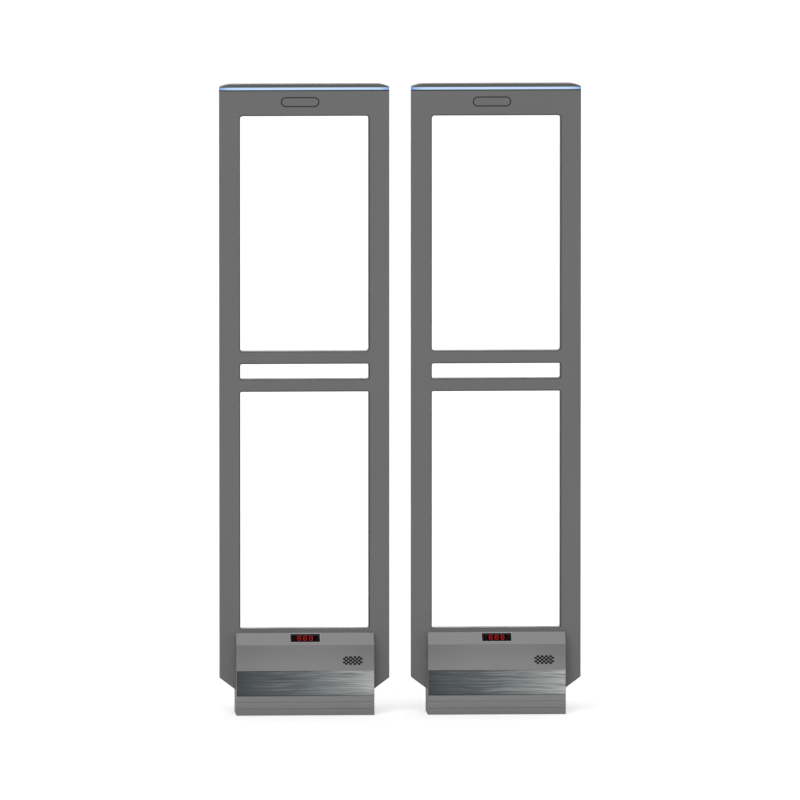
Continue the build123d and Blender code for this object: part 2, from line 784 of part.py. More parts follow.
rocker_plane = Plane(
    origin=(SWITCH[0], rocker_pivot_y, SWITCH[1]), x_dir=(0, 1, 0), z_dir=(1, 0, 0)
).rotated((rocker_tilt, 0, 0))
with BuildPart() as power_rocker:
    with BuildSketch(rocker_plane):
        with BuildLine():
            Polyline(
                (rocker_back, -rocker_back_half_height),
                (-rocker_pin_radius, -rocker_half_height),
                (-rocker_thickness, -rocker_half_height),
                (-rocker_thickness + rocker_hollow, 0),
                (-rocker_thickness, rocker_half_height),
                (-rocker_pin_radius, rocker_half_height),
                (rocker_back, rocker_back_half_height),
                close=True,
            )
        make_face()
    extrude(amount=rocker_width / 2, both=True)
    with BuildSketch(rocker_plane):
        Circle(rocker_pin_radius)
    extrude(amount=switch_width / 2, both=True)

with BuildPart() as power_supply:
    with BuildSketch(at_depth(half_depth + supply_thickness)):
        with Locations((0, board_bottom + supply_height / 2)):
            Rectangle(supply_length, supply_height)
    extrude(amount=supply_thickness)
    fillet(power_supply.faces().sort_by(Axis.Y)[-1].edges(), radius=outer_edge_radius)
    # vent slots in the lid
    with BuildSketch(at_depth(half_depth + supply_thickness)):
        with Locations((0, board_bottom + supply_height / 2)):
            with GridLocations(vent_pitch, 0, vent_count, 1):
                SlotOverall(vent_length, vent_width, rotation=90)
    extrude(amount=outer_edge_radius, mode=Mode.SUBTRACT)

with BuildPart() as terminal_blocks:
    with BuildSketch(Plane.XY.offset(base_plate_thickness)):
        with GridLocations(2 * terminal_x, 0, 2, 1):
            with Locations((0, lead_y)):
                Rectangle(terminal_width / 2, terminal_depth)
    extrude(amount=terminal_height)

# ---- leads inside the stiles --------------------------------------------------------------
lead_start = base_plate_thickness + terminal_height


def stile_lead(side, ends, radii):
    """A lead from a terminal block, across behind the post, and up the stile to its end points."""
    with BuildPart() as lead:
        with BuildLine():
            FilletPolyline(
                (side * terminal_x, lead_y, lead_start),
                (side * terminal_x, lead_y, cross_bar_middle - lead_drop),
                (side * lead_x, lead_y, cross_bar_middle + lead_rise),
                *ends,
                radius=radii,
            )
        with BuildSketch(Plane(origin=(side * terminal_x, lead_y, lead_start), z_dir=(0, 0, 1))):
            Circle(lead_radius)
        sweep()
    return lead


coil_side = stile_middle + coil_width / 2
coil_tail_height = upper_opening_bottom + antenna_lead_rise
led_lead = stile_lead(1, [(lead_x, lead_y, light_bottom)], [lead_bend_radius, lead_bend_radius])
antenna_lead = stile_lead(
    -1,
    [
        (-lead_x, lead_y, coil_tail_height - antenna_lead_run),
        (-coil_side - lead_radius - assembly_gap, coil_thickness / 4, coil_tail_height),
    ],
    [lead_bend_radius, lead_bend_radius, antenna_lead_radius],
)
with BuildPart() as stile_leads:
    add(led_lead.part)
    add(antenna_lead.part)

# ---- placing and writing ------------------------------------------------------------------
SINGLE = {
    "front_frame_shell": front_frame_shell,
    "rear_frame_shell": rear_frame_shell,
    "badge_plate": badge_plate,
    "light_diffuser": light_diffuser,
    "led_board": led_board,
    "top_cap": top_cap,
    "upper_antenna_coil": upper_antenna_coil,
    "lower_antenna_coil": lower_antenna_coil,
    "base_plate": base_plate,
    "upright_bracket": upright_bracket,
    "cable_grommet": cable_grommet,
    "plinth": plinth,
    "front_cover": front_cover,
    "front_kick_plate": front_kick_plate,
    "display_window": display_window,
    "rear_cover": rear_cover,
    "rear_kick_plate": rear_kick_plate,
    "display_module": display_module,
    "speaker": speaker,
    "speaker_cone": speaker_cone,
    "control_board": control_board,
    "volume_knob": volume_knob,
    "power_switch_body": power_switch_body,
    "power_rocker": power_rocker,
    "power_supply": power_supply,
    "stile_leads": stile_leads,
}
SHARED = {
    "frame_screws": frame_screws,
    "frame_bolts": frame_bolts,
    "led_chips": led_chips,
    "coil_clips": coil_clips,
    "cover_clips": cover_clips,
    "board_standoffs": board_standoffs,
    "board_components": board_components,
    "terminal_blocks": terminal_blocks,
}
PEDESTALS = {"left": -pedestal_spacing / 2, "right": pedestal_spacing / 2}

os.makedirs("parts", exist_ok=True)
for side, centre_x in PEDESTALS.items():
    for name, piece in SINGLE.items():
        placed = piece.part.moved(Location((centre_x, 0, 0)))
        placed.label = f"{side}_{name}"
        export_step(placed, f"parts/{placed.label}.step")
for name, piece in SHARED.items():
    solids = [
        solid.moved(Location((centre_x, 0, 0)))
        for centre_x in PEDESTALS.values()
        for solid in piece.part.solids()
    ]
    group = Compound(children=solids)
    group.label = name
    export_step(group, f"parts/{name}.step")
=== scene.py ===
import json
import math

import bmesh
import bpy
from mathutils import Matrix, Vector


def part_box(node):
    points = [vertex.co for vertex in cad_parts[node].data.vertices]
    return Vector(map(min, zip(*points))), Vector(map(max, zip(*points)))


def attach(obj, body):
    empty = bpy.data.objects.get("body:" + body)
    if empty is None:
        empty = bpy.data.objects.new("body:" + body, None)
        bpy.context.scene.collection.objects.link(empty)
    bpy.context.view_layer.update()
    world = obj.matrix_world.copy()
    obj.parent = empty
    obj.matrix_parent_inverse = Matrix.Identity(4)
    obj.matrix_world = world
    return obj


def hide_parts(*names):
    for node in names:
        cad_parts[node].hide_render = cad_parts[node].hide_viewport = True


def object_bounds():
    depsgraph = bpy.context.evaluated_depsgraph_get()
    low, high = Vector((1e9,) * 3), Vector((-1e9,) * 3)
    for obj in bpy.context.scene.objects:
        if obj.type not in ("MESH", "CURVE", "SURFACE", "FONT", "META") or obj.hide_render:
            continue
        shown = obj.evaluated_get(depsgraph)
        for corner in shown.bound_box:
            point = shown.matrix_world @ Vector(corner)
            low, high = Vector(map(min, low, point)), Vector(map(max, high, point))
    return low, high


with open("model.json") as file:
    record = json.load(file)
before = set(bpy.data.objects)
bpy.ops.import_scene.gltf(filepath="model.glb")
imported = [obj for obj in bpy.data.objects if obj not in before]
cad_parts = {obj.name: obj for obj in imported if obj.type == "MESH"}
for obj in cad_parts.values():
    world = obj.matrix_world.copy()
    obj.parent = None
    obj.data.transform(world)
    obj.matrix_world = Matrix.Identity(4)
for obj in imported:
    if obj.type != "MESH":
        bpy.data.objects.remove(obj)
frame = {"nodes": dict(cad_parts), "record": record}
cad_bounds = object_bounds()

# A pair of anti-theft antenna pedestals. Metres, +Z up, shoppers' side towards -Y.
SIDES = ("left", "right")
PEDESTALS = "pedestals"


def middle(low_high):
    """The middle of a box given by its lowest and highest corners."""
    low, high = low_high
    return (low + high) / 2


MM = 0.001
CENTRES = {side: middle(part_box(f"{side}_front_frame_shell")).x for side in SIDES}
SPACING = CENTRES["right"] - CENTRES["left"]
HALF_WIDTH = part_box("left_front_frame_shell")[1].x - CENTRES["left"]


# ---- camera and light ---------------------------------------------------------------------
VIEW_AZIMUTH = -3.0
VIEW_ELEVATION = 4.6
LENS = 800.0
SENSOR = 36.0
VIEW_WIDTH = 2.02752                      # of the camera's frame, at the object
VIEW_DISTANCE = LENS * VIEW_WIDTH / SENSOR
VIEW_CLIP = 200.0
AIM_DROP = 4.0 * MM                       # the camera looks this far below the object's middle


def direction(azimuth, elevation):
    """The way from the object to something seen at that azimuth and elevation, in degrees."""
    turn = math.radians(azimuth)
    rise = math.radians(elevation)
    return Vector((math.sin(turn) * math.cos(rise), -math.cos(turn) * math.cos(rise), math.sin(rise)))


def make_camera():
    data = bpy.data.cameras.new("camera")
    data.lens = LENS
    data.sensor_width = SENSOR
    data.clip_end = VIEW_CLIP
    camera = bpy.data.objects.new("camera", data)
    bpy.context.scene.collection.objects.link(camera)
    away = direction(VIEW_AZIMUTH, VIEW_ELEVATION)
    camera.location = middle(cad_bounds) - Vector((0, 0, AIM_DROP)) + away * VIEW_DISTANCE
    camera.rotation_euler = away.to_track_quat("Z", "Y").to_euler()
    bpy.context.scene.camera = camera


def make_sun(name, azimuth, elevation, energy, softness):
    data = bpy.data.lights.new(name, "SUN")
    data.energy = energy
    data.angle = math.radians(softness)
    sun = bpy.data.objects.new(name, data)
    bpy.context.scene.collection.objects.link(sun)
    sun.rotation_euler = direction(azimuth, elevation).to_track_quat("Z", "Y").to_euler()


def make_world():
    """Soft grey light from all round, seen as white by the eye, by gloss and through glass."""
    world = bpy.data.worlds.new("studio")
    bpy.context.scene.world = world
    world.use_nodes = True
    tree = world.node_tree
    background = tree.nodes["Background"]
    path = tree.nodes.new("ShaderNodeLightPath")
    seen = path.outputs["Is Camera Ray"]
    for ray in ("Is Glossy Ray", "Is Transmission Ray"):
        either = tree.nodes.new("ShaderNodeMath")
        either.operation = "MAXIMUM"
        tree.links.new(seen, either.inputs[0])
        tree.links.new(path.outputs[ray], either.inputs[1])
        seen = either.outputs[0]
    mix = tree.nodes.new("ShaderNodeMix")
    mix.data_type = "RGBA"
    mix.inputs[6].default_value = (0.50, 0.50, 0.50, 1)
    mix.inputs[7].default_value = (1.0, 1.0, 1.0, 1)
    tree.links.new(seen, mix.inputs[0])
    tree.links.new(mix.outputs[2], background.inputs["Color"])


# ---- material building --------------------------------------------------------------------
class Surface:
    """One node material: a Principled shader and the few kinds of node that feed it."""

    def __init__(self, name, **fixed):
        self.material = bpy.data.materials.new(name)
        self.material.use_nodes = True
        self.tree = self.material.node_tree
        self.tree.nodes.clear()
        output = self.node("OutputMaterial")
        self.shader = self.node("BsdfPrincipled")
        self.tree.links.new(self.shader.outputs[0], output.inputs["Surface"])
        for name, value in fixed.items():
            self.shader.inputs[name.replace("_", " ")].default_value = value
        self.place = self.node("TexCoord").outputs["Object"]

    def node(self, kind):
        return self.tree.nodes.new("ShaderNode" + kind)

    def put(self, value, socket):
        """Links a socket, or sets a number or a colour."""
        if isinstance(value, bpy.types.NodeSocket):
            self.tree.links.new(value, socket)
        elif isinstance(value, tuple) and len(value) == 3 and socket.type == "RGBA":
            socket.default_value = (*value, 1.0)
        else:
            socket.default_value = value

    def feed(self, **values):
        for name, value in values.items():
            self.put(value, self.shader.inputs[name.replace("_", " ")])

    def math(self, operation, first, second=0.0, third=0.0):
        node = self.node("Math")
        node.operation = operation
        for socket, value in zip(node.inputs, (first, second, third)):
            self.put(value, socket)
        return node.outputs[0]

    def every(self, *masks):
        """The product of several masks."""
        product = masks[0]
        for mask in masks[1:]:
            product = self.math("MULTIPLY", product, mask)
        return product

    def waves(self, value, pitch):
        """A sine of a length, from -1 to 1, repeating at that pitch."""
        return self.math("SINE", self.math("MULTIPLY", value, 2 * math.pi / pitch))

    def moved(self, operation, place, step):
        """A point plus or times another, part by part."""
        node = self.node("VectorMath")
        node.operation = operation
        self.put(place, node.inputs[0])
        self.put(step, node.inputs[1])
        return node.outputs[0]

    def axis(self, letter, place=None):
        node = self.node("SeparateXYZ")
        self.put(place or self.place, node.inputs[0])
        return node.outputs[letter]

    def local_x(self):
        """Distance along X from the middle of whichever pedestal the point is on."""
        shifted = self.math("ADD", self.axis("X"), SPACING / 2)
        return self.math("WRAP", shifted, SPACING / 2, -SPACING / 2)

    def stretched(self, x, y, z):
        return self.moved("MULTIPLY", self.place, (x, y, z))

    def noise(self, scale, detail=2.0, place=None, roughness=0.5, distortion=0.0):
        node = self.node("TexNoise")
        self.put(place or self.place, node.inputs["Vector"])
        node.inputs["Scale"].default_value = scale
        node.inputs["Detail"].default_value = detail
        node.inputs["Roughness"].default_value = roughness
        node.inputs["Distortion"].default_value = distortion
        return node.outputs[0]

    def cells(self, scale, place=None, feature="F1", output="Distance"):
        node = self.node("TexVoronoi")
        node.feature = feature
        self.put(place or self.place, node.inputs["Vector"])
        node.inputs["Scale"].default_value = scale
        return node.outputs[output]

    def spread(self, value, low, high, new_low, new_high, smooth=False):
        node = self.node("MapRange")
        node.interpolation_type = "SMOOTHSTEP" if smooth else "LINEAR"
        for socket, number in zip(node.inputs, (value, low, high, new_low, new_high)):
            self.put(number, socket)
        return node.outputs[0]

    def ramp(self, value, stops):
        node = self.node("ValToRGB")
        self.put(value, node.inputs[0])
        elements = node.color_ramp.elements
        while len(elements) < len(stops):
            elements.new(0.5)
        for element, (position, colour) in zip(elements, stops):
            element.position = position
            element.color = (*colour, 1.0)
        return node.outputs[0]

    def mix(self, factor, first, second, blend="MIX"):
        node = self.node("Mix")
        node.data_type = "RGBA"
        node.blend_type = blend
        self.put(factor, node.inputs[0])
        self.put(first, node.inputs[6])
        self.put(second, node.inputs[7])
        return node.outputs[2]

    def edges(self, radius, softness=0.10):
        """1 on sharp outer edges and in corners, 0 on flats."""
        bevel = self.node("Bevel")
        bevel.samples = 4
        bevel.inputs["Radius"].default_value = radius
        flat = self.node("NewGeometry")
        dot = self.node("VectorMath")
        dot.operation = "DOT_PRODUCT"
        self.put(bevel.outputs[0], dot.inputs[0])
        self.put(flat.outputs["Normal"], dot.inputs[1])
        return self.spread(dot.outputs["Value"], 1.0 - softness, 0.998, 1.0, 0.0)

    def bump(self, height, distance, strength=1.0, normal=None):
        node = self.node("Bump")
        node.inputs["Strength"].default_value = strength
        node.inputs["Distance"].default_value = distance
        self.put(height, node.inputs["Height"])
        if normal:
            self.put(normal, node.inputs["Normal"])
        return node.outputs[0]


def shade(colour, factor):
    return tuple(channel * factor for channel in colour)


def moulded_plastic(name, colour, roughness=0.5, grain=850.0, wear=0.35, specular=0.28, marks_and_painted_light=None):
    """Injection-moulded plastic: spark-eroded grain, faint flow, rubbed edges, dull scuffs."""
    look = Surface(name, Specular_IOR_Level=specular)
    flow = look.spread(look.noise(2.2, 3.0), 0.3, 0.7, 0.0, 1.0)
    base = look.mix(flow, shade(colour, 0.97), shade(colour, 1.03))
    fine = look.noise(grain, 3.0, roughness=0.6)
    speck = look.spread(fine, 0.58, 0.72, 0.0, 0.16)
    base = look.mix(speck, base, shade(colour, 1.5))
    patches = look.spread(look.noise(55.0, 4.0), 0.4, 0.7, 0.3, 1.0)
    rubbed = look.math("MULTIPLY", look.edges(1.1 * MM), patches)
    base = look.mix(look.math("MULTIPLY", rubbed, wear), base, shade(colour, 1.55))
    # extra marks, which include painted light and shade on the frame and on the base
    if marks_and_painted_light:
        base = marks_and_painted_light(look, base)
    scuffs = look.spread(look.noise(9.0, 6.0, look.stretched(1, 1, 0.35), 0.62), 0.45, 0.75, 0.0, 1.0)
    rough = look.spread(scuffs, 0.0, 1.0, roughness - 0.05, roughness + 0.09)
    look.feed(Base_Color=base, Roughness=rough)
    coarse = look.bump(look.noise(grain / 3.5, 2.0), 0.05 * MM, 0.35)
    look.feed(Normal=look.bump(fine, 0.05 * MM, 0.5, coarse))
    return look.material


# The frame's openings lie between its stiles and between these heights; their rims are rounded.
STILE = 52.0 * MM
LOWEST_OPENING = 217.5 * MM
HIGHEST_OPENING = 1519.0 * MM
RIM = 6.0 * MM
SEAM = 0.45 * MM


def painted_opening_shade_and_seam(look, base):
    """Painted shade on the walls and rims of the frame's openings, and a dark seam that joins its halves.
    """
    normal = look.axis("Y", look.node("NewGeometry").outputs["Normal"])
    turned = look.spread(look.math("ABSOLUTE", normal), 0.93, 0.999, 1.0, 0.0)
    half = HALF_WIDTH - STILE + RIM
    inside = look.math("LESS_THAN", look.math("ABSOLUTE", look.local_x()), half)
    above = look.math("GREATER_THAN", look.axis("Z"), LOWEST_OPENING - RIM)
    below = look.math("LESS_THAN", look.axis("Z"), HIGHEST_OPENING + RIM)
    # painted shade: the openings' walls and rims are darkened, as if little light reached them
    where = look.every(inside, above, below, turned)
    base = look.mix(look.math("MULTIPLY", where, 0.92), base, (0.040, 0.040, 0.041))
    seam = look.spread(look.math("ABSOLUTE", look.axis("Y")), 0.25 * MM, SEAM, 0.85, 0.0)
    return look.mix(seam, base, (0.012, 0.012, 0.012))


# Heights on the base, and the half sizes of the patch of grille slots.
FLOORWARD_DARKENING_TOP = 36.0 * MM
FACE_BOTTOM = 112.0 * MM
SHADE_TOP = 178.0 * MM
FACE_TOP = 179.2 * MM
STRIP_BOTTOM = 179.8 * MM
BASE_HALF_WIDTH = 175.0 * MM
GRILLE_SHADE_HALF = (32.0 * MM, 16.0 * MM)


def shaded_grille_walls(look):
    """1 on the walls of the grille's slots, a little behind the cover's front face, where painted shade
    goes.
    """
    grille = middle(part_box("left_speaker"))
    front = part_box("left_front_cover")[0].y
    across = look.math("SUBTRACT", look.local_x(), grille.x - CENTRES["left"])
    up = look.math("SUBTRACT", look.axis("Z"), grille.z)
    near_x = look.math("LESS_THAN", look.math("ABSOLUTE", across), GRILLE_SHADE_HALF[0])
    near_z = look.math("LESS_THAN", look.math("ABSOLUTE", up), GRILLE_SHADE_HALF[1])
    deep = look.spread(look.axis("Y"), front + 0.45 * MM, front + 0.75 * MM, 0.0, 1.0)
    on_front_cover = look.math("LESS_THAN", look.axis("Y"), 0.0)
    return look.every(near_x, near_z, deep, on_front_cover)


def painted_light_and_shade_on_base(look, base):
    """Darker towards the floor on the plinth, painted shade on the upper part of the covers' faces, painted
    light on the slanted strip and across the middle of the face, and painted shade on the walls of the
    grille's slots.
    """
    height = look.axis("Z")
    # the plinth is darker towards the floor
    dust = look.spread(height, 0.0, FLOORWARD_DARKENING_TOP, 0.36, 0.0)
    base = look.mix(dust, base, (0.070, 0.069, 0.066))
    # painted shade: the cover's face darkens towards its top, under the slanted strip
    painted_shade_rise = look.spread(height, FACE_BOTTOM, SHADE_TOP, 0.0, 1.0, True)
    on_face = look.math("LESS_THAN", height, FACE_TOP)
    above_plate = look.math("GREATER_THAN", height, FACE_BOTTOM)
    base = look.mix(look.every(painted_shade_rise, on_face, 0.25), base, (0.045, 0.045, 0.045))
    # painted highlight: the slanted strip is lightened because it faces up towards the light
    on_strip_face = look.math("GREATER_THAN", height, STRIP_BOTTOM)
    base = look.mix(look.every(on_strip_face, 0.05), base, (0.32, 0.32, 0.32))
    # painted light: the middle of the cover's face is lightened, its sides left darker
    out = look.math("ABSOLUTE", look.local_x())
    pale = look.spread(out, 50.0 * MM, BASE_HALF_WIDTH, 1.0, 0.0, True)
    base = look.mix(look.every(pale, above_plate, on_face, 0.10), base, (0.36, 0.36, 0.36))
    # painted shade: the walls of the grille's slots are made near black
    return look.mix(shaded_grille_walls(look), base, (0.003, 0.003, 0.003))


def frame_plastic():
    return moulded_plastic("frame_plastic", (0.122, 0.122, 0.123), 0.52, 900.0, 0.22, marks_and_painted_light=painted_opening_shade_and_seam)


def cover_plastic():
    return moulded_plastic("cover_plastic", (0.184, 0.184, 0.183), 0.50, 700.0, 0.30, marks_and_painted_light=painted_light_and_shade_on_base)


def cap_plastic():
    return moulded_plastic("cap_plastic", (0.080, 0.079, 0.078), 0.55, 800.0, 0.12)


def black_plastic():
    return moulded_plastic("black_plastic", (0.017, 0.017, 0.018), 0.42, 600.0, 0.5, 0.4)


def component_plastic():
    """Dark moulded epoxy of the boards' chips, paler along its edges."""
    look = Surface("component_plastic", Specular_IOR_Level=0.4)
    grains = look.noise(1500.0, 2.0)
    base = look.mix(grains, (0.012, 0.012, 0.013), (0.045, 0.045, 0.048))
    top_lip = look.edges(0.5 * MM)
    base = look.mix(look.math("MULTIPLY", top_lip, 0.5), base, (0.16, 0.16, 0.165))
    look.feed(Base_Color=base, Roughness=look.spread(grains, 0.3, 0.7, 0.32, 0.55))
    look.feed(Normal=look.bump(grains, 0.03 * MM, 0.5))
    return look.material


def red_plastic():
    """Glossy red plastic, slightly cloudy and paler along its edges."""
    look = Surface("red_plastic", Specular_IOR_Level=0.5, Coat_Weight=0.25, Coat_Roughness=0.12)
    cloud = look.noise(120.0, 3.0)
    base = look.mix(cloud, (0.36, 0.010, 0.010), (0.52, 0.024, 0.020))
    base = look.mix(look.math("MULTIPLY", look.edges(0.4 * MM), 0.5), base, (0.72, 0.12, 0.10))
    look.feed(Base_Color=base, Roughness=look.spread(cloud, 0.3, 0.7, 0.22, 0.38))
    look.feed(Normal=look.bump(look.noise(900.0), 0.02 * MM, 0.4))
    return look.material


# The diffuser's colour from its middle (0) to its end (1): pale, then bluer where no chip is near.
GLOW = (
    (0.0, (0.515, 0.690, 0.935)),
    (0.80, (0.490, 0.665, 0.930)),
    (0.90, (0.430, 0.635, 0.900)),
    (0.955, (0.285, 0.460, 0.800)),
    (1.0, (0.165, 0.300, 0.720)),
)


CHIPS = 30    # LED chips along the diffuser


def light_plastic():
    """Frosted diffuser lit from inside, a little brighter in front of each chip."""
    look = Surface("light_plastic", Specular_IOR_Level=0.3, Emission_Strength=0.66)
    out = look.math("DIVIDE", look.math("ABSOLUTE", look.local_x()), HALF_WIDTH)
    glow = look.ramp(out, GLOW)
    chips = look.waves(look.local_x(), 2 * HALF_WIDTH / CHIPS)
    glow = look.mix(look.spread(chips, -1.0, 1.0, 0.06, 0.0), glow, (0.30, 0.42, 0.62))
    frost = look.noise(1200.0, 2.0)
    glow = look.mix(look.spread(frost, 0.3, 0.7, 0.0, 0.05), glow, (0.9, 0.95, 1.0))
    dim = look.mix(1.0, glow, (0.36, 0.36, 0.36), "MULTIPLY")
    look.feed(Base_Color=dim, Emission_Color=glow, Roughness=look.spread(frost, 0.3, 0.7, 0.40, 0.52))
    look.feed(Normal=look.bump(frost, 0.03 * MM, 0.5))
    return look.material


TRACK_PITCH = 1.3 * MM


def circuit_board():
    """Green solder mask over patches of level or upright tracks, with tinned pads."""
    look = Surface("circuit_board", Specular_IOR_Level=0.5)
    patch = look.cells(75.0, output="Color")
    upright = look.math("GREATER_THAN", look.axis("X", patch), 0.5)
    lanes = [look.spread(look.waves(look.axis(letter), TRACK_PITCH), 0.1, 0.4, 0.0, 1.0) for letter in "XZ"]
    track = look.mix(upright, lanes[1], lanes[0])
    filled = look.math("GREATER_THAN", look.axis("Y", patch), 0.42)
    gap = look.spread(look.cells(75.0, feature="DISTANCE_TO_EDGE"), 0.03, 0.05, 0.0, 1.0)
    mask = look.every(track, filled, gap)
    base = look.mix(mask, (0.010, 0.100, 0.036), (0.020, 0.165, 0.060))
    pads = look.spread(look.cells(190.0), 0.16, 0.20, 1.0, 0.0)
    picked = look.math("GREATER_THAN", look.noise(85.0, 1.0), 0.52)
    pads = look.math("MULTIPLY", pads, picked)
    base = look.mix(pads, base, (0.62, 0.60, 0.55))
    cut = look.edges(0.4 * MM)
    base = look.mix(look.math("MULTIPLY", cut, 0.6), base, (0.20, 0.24, 0.12))
    look.feed(Base_Color=base, Metallic=look.math("MULTIPLY", pads, 0.8))
    look.feed(Roughness=look.spread(pads, 0.0, 1.0, 0.34, 0.22))
    relief = look.math("ADD", mask, pads)
    look.feed(Normal=look.bump(relief, 0.04 * MM, 0.6))
    return look.material


WIRE_PITCH = 1.2083 * MM
TAPE_PITCH = 33.07 * MM


def copper_coil():
    """A bundle of enamelled copper wire, bound with spirals of clear tape."""
    look = Surface("copper_coil", Specular_IOR_Level=0.5, Coat_Weight=0.3, Coat_Roughness=0.2)
    up = look.math("ADD", look.axis("X"), look.axis("Z"))
    across = look.math("SUBTRACT", look.axis("X"), look.axis("Z"))
    wires = look.waves(across, WIRE_PITCH)
    turns = look.waves(look.axis("Y"), WIRE_PITCH)
    strands = look.math("ADD", look.math("MULTIPLY", wires, 0.5), turns)
    base = look.mix(look.spread(strands, -1.5, 1.5, 0.0, 1.0), (0.20, 0.060, 0.018), (0.52, 0.205, 0.075))
    bands = look.spread(look.waves(up, TAPE_PITCH), 0.80, 0.90, 0.0, 1.0)
    base = look.mix(look.math("MULTIPLY", bands, 0.8), base, (0.56, 0.42, 0.20))
    look.feed(Base_Color=base, Metallic=look.spread(bands, 0.0, 1.0, 0.75, 0.0))
    look.feed(Roughness=look.spread(look.noise(220.0), 0.3, 0.7, 0.28, 0.45))
    look.feed(Normal=look.bump(strands, 0.12 * MM, 0.8))
    return look.material


def zinc_steel():
    """Bright zinc plate: crystals, faint yellow bloom, white oxide in patches."""
    look = Surface("zinc_steel", Metallic=1.0)
    crystals = look.axis("X", look.cells(420.0, output="Color"))
    base = look.mix(crystals, (0.27, 0.28, 0.29), (0.42, 0.43, 0.43))
    base = look.mix(look.spread(look.noise(14.0, 4.0), 0.4, 0.8, 0.0, 0.5), base, (0.52, 0.48, 0.38))
    base = look.mix(look.spread(look.noise(60.0, 6.0), 0.60, 0.75, 0.0, 0.6), base, (0.66, 0.67, 0.68))
    look.feed(Base_Color=base, Roughness=look.spread(look.noise(35.0, 5.0), 0.3, 0.7, 0.25, 0.46))
    look.feed(Normal=look.bump(look.noise(700.0, 3.0), 0.03 * MM, 0.6))
    return look.material


def black_steel():
    """Black powder coat: fine orange peel, paint thin on the edges."""
    look = Surface("black_steel", Specular_IOR_Level=0.5)
    peel = look.noise(620.0, 2.0)
    worn = look.spread(look.noise(160.0, 5.0), 0.46, 0.62, 0.0, 1.0)
    worn = look.math("MULTIPLY", worn, look.edges(0.7 * MM))
    base = look.mix(peel, (0.019, 0.019, 0.021), (0.036, 0.036, 0.039))
    base = look.mix(look.math("MULTIPLY", worn, 0.8), base, (0.30, 0.29, 0.28))
    look.feed(Base_Color=base, Roughness=look.spread(peel, 0.3, 0.7, 0.30, 0.44))
    look.feed(Metallic=look.math("MULTIPLY", worn, 0.9), Normal=look.bump(peel, 0.05 * MM, 0.6))
    return look.material


# Painted reflection on the brushed steel across a kick plate, from its dark left end (0) to its bright
# right end (1).
PAINTED_REFLECTION_RAMP = (
    (0.0, (0.045, 0.060, 0.058)),
    (0.12, (0.078, 0.090, 0.097)),
    (0.38, (0.108, 0.122, 0.133)),
    (0.52, (0.155, 0.173, 0.176)),
    (0.66, (0.235, 0.258, 0.258)),
    (0.82, (0.330, 0.350, 0.346)),
    (1.0, (0.500, 0.510, 0.500)),
)


# A kick plate's half length, and the heights where the painted shade along its rims begins.
PLATE_HALF = 174.0 * MM
PLATE_BOTTOM = 50.0 * MM
PLATE_TOP = 112.5 * MM


def plate_gap_shade(look, length):
    """Painted shade of the shadow gaps round a kick plate: 1 along its lower, left and upper rims, less so
    at the right of the upper one.
    """
    height = look.axis("Z")
    low = look.spread(height, PLATE_BOTTOM, PLATE_BOTTOM + 4.5 * MM, 1.0, 0.0, True)
    left = look.spread(look.local_x(), 0.5 * MM - PLATE_HALF, 2.5 * MM - PLATE_HALF, 1.0, 0.0, True)
    high = look.spread(height, PLATE_TOP - 1.3 * MM, PLATE_TOP, 0.0, 1.0, True)
    high = look.math("MULTIPLY", high, look.spread(length, 0.3, 0.8, 1.0, 0.0))
    return look.math("MAXIMUM", look.math("MAXIMUM", low, left), high)


def stainless():
    """Brushed stainless sheet: fine level hairlines, long wavy streaks, dark and bright, a painted
    reflection from dark at the left end to bright at the right, and painted shade along the rims.
    """
    look = Surface("stainless", Specular_IOR_Level=0.5, Anisotropic=0.7)
    length = look.spread(look.local_x(), -PLATE_HALF, PLATE_HALF, 0.0, 1.0)
    # painted reflection: the plate runs from dark at its left end to bright at its right
    base = look.ramp(length, PAINTED_REFLECTION_RAMP)
    wave = look.noise(7.0, 2.0, look.stretched(1.0, 1.0, 0.4))
    height = look.spread(length, 0.0, 1.0, 8.0 * MM, 20.0 * MM)
    lift = look.node("CombineXYZ")
    look.put(look.math("MULTIPLY", wave, height), lift.inputs["Z"])
    wavy = look.moved("MULTIPLY", look.moved("ADD", look.place, lift.outputs[0]), (9.0, 9.0, 470.0))
    streaks = look.noise(1.0, 4.0, wavy, 0.62)
    hairs = look.noise(1.0, 3.0, look.stretched(14.0, 14.0, 2600.0), 0.6)
    dark = look.spread(streaks, 0.34, 0.50, 0.9, 0.0)
    bright = look.spread(streaks, 0.52, 0.68, 0.0, 1.0)
    # painted reflection: the bright streaks grow stronger towards the right end
    bright = look.math("MULTIPLY", bright, look.spread(length, 0.1, 0.9, 0.12, 1.0))
    base = look.mix(look.math("MULTIPLY", dark, 0.6), base, (0.040, 0.046, 0.050))
    base = look.mix(look.math("MULTIPLY", bright, 0.55), base, (0.66, 0.67, 0.66))
    base = look.mix(look.spread(hairs, 0.35, 0.65, 0.22, 0.0), base, (0.06, 0.065, 0.068))
    # painted shade along the plate's rims, where its shadow gaps are
    rims = look.math("MULTIPLY", plate_gap_shade(look, length), 0.6)
    base = look.mix(rims, base, (0.030, 0.034, 0.034))
    look.feed(Base_Color=base, Metallic=0.55)
    look.feed(Roughness=look.spread(streaks, 0.3, 0.7, 0.46, 0.30))
    look.feed(Normal=look.bump(hairs, 0.02 * MM, 0.5))
    return look.material


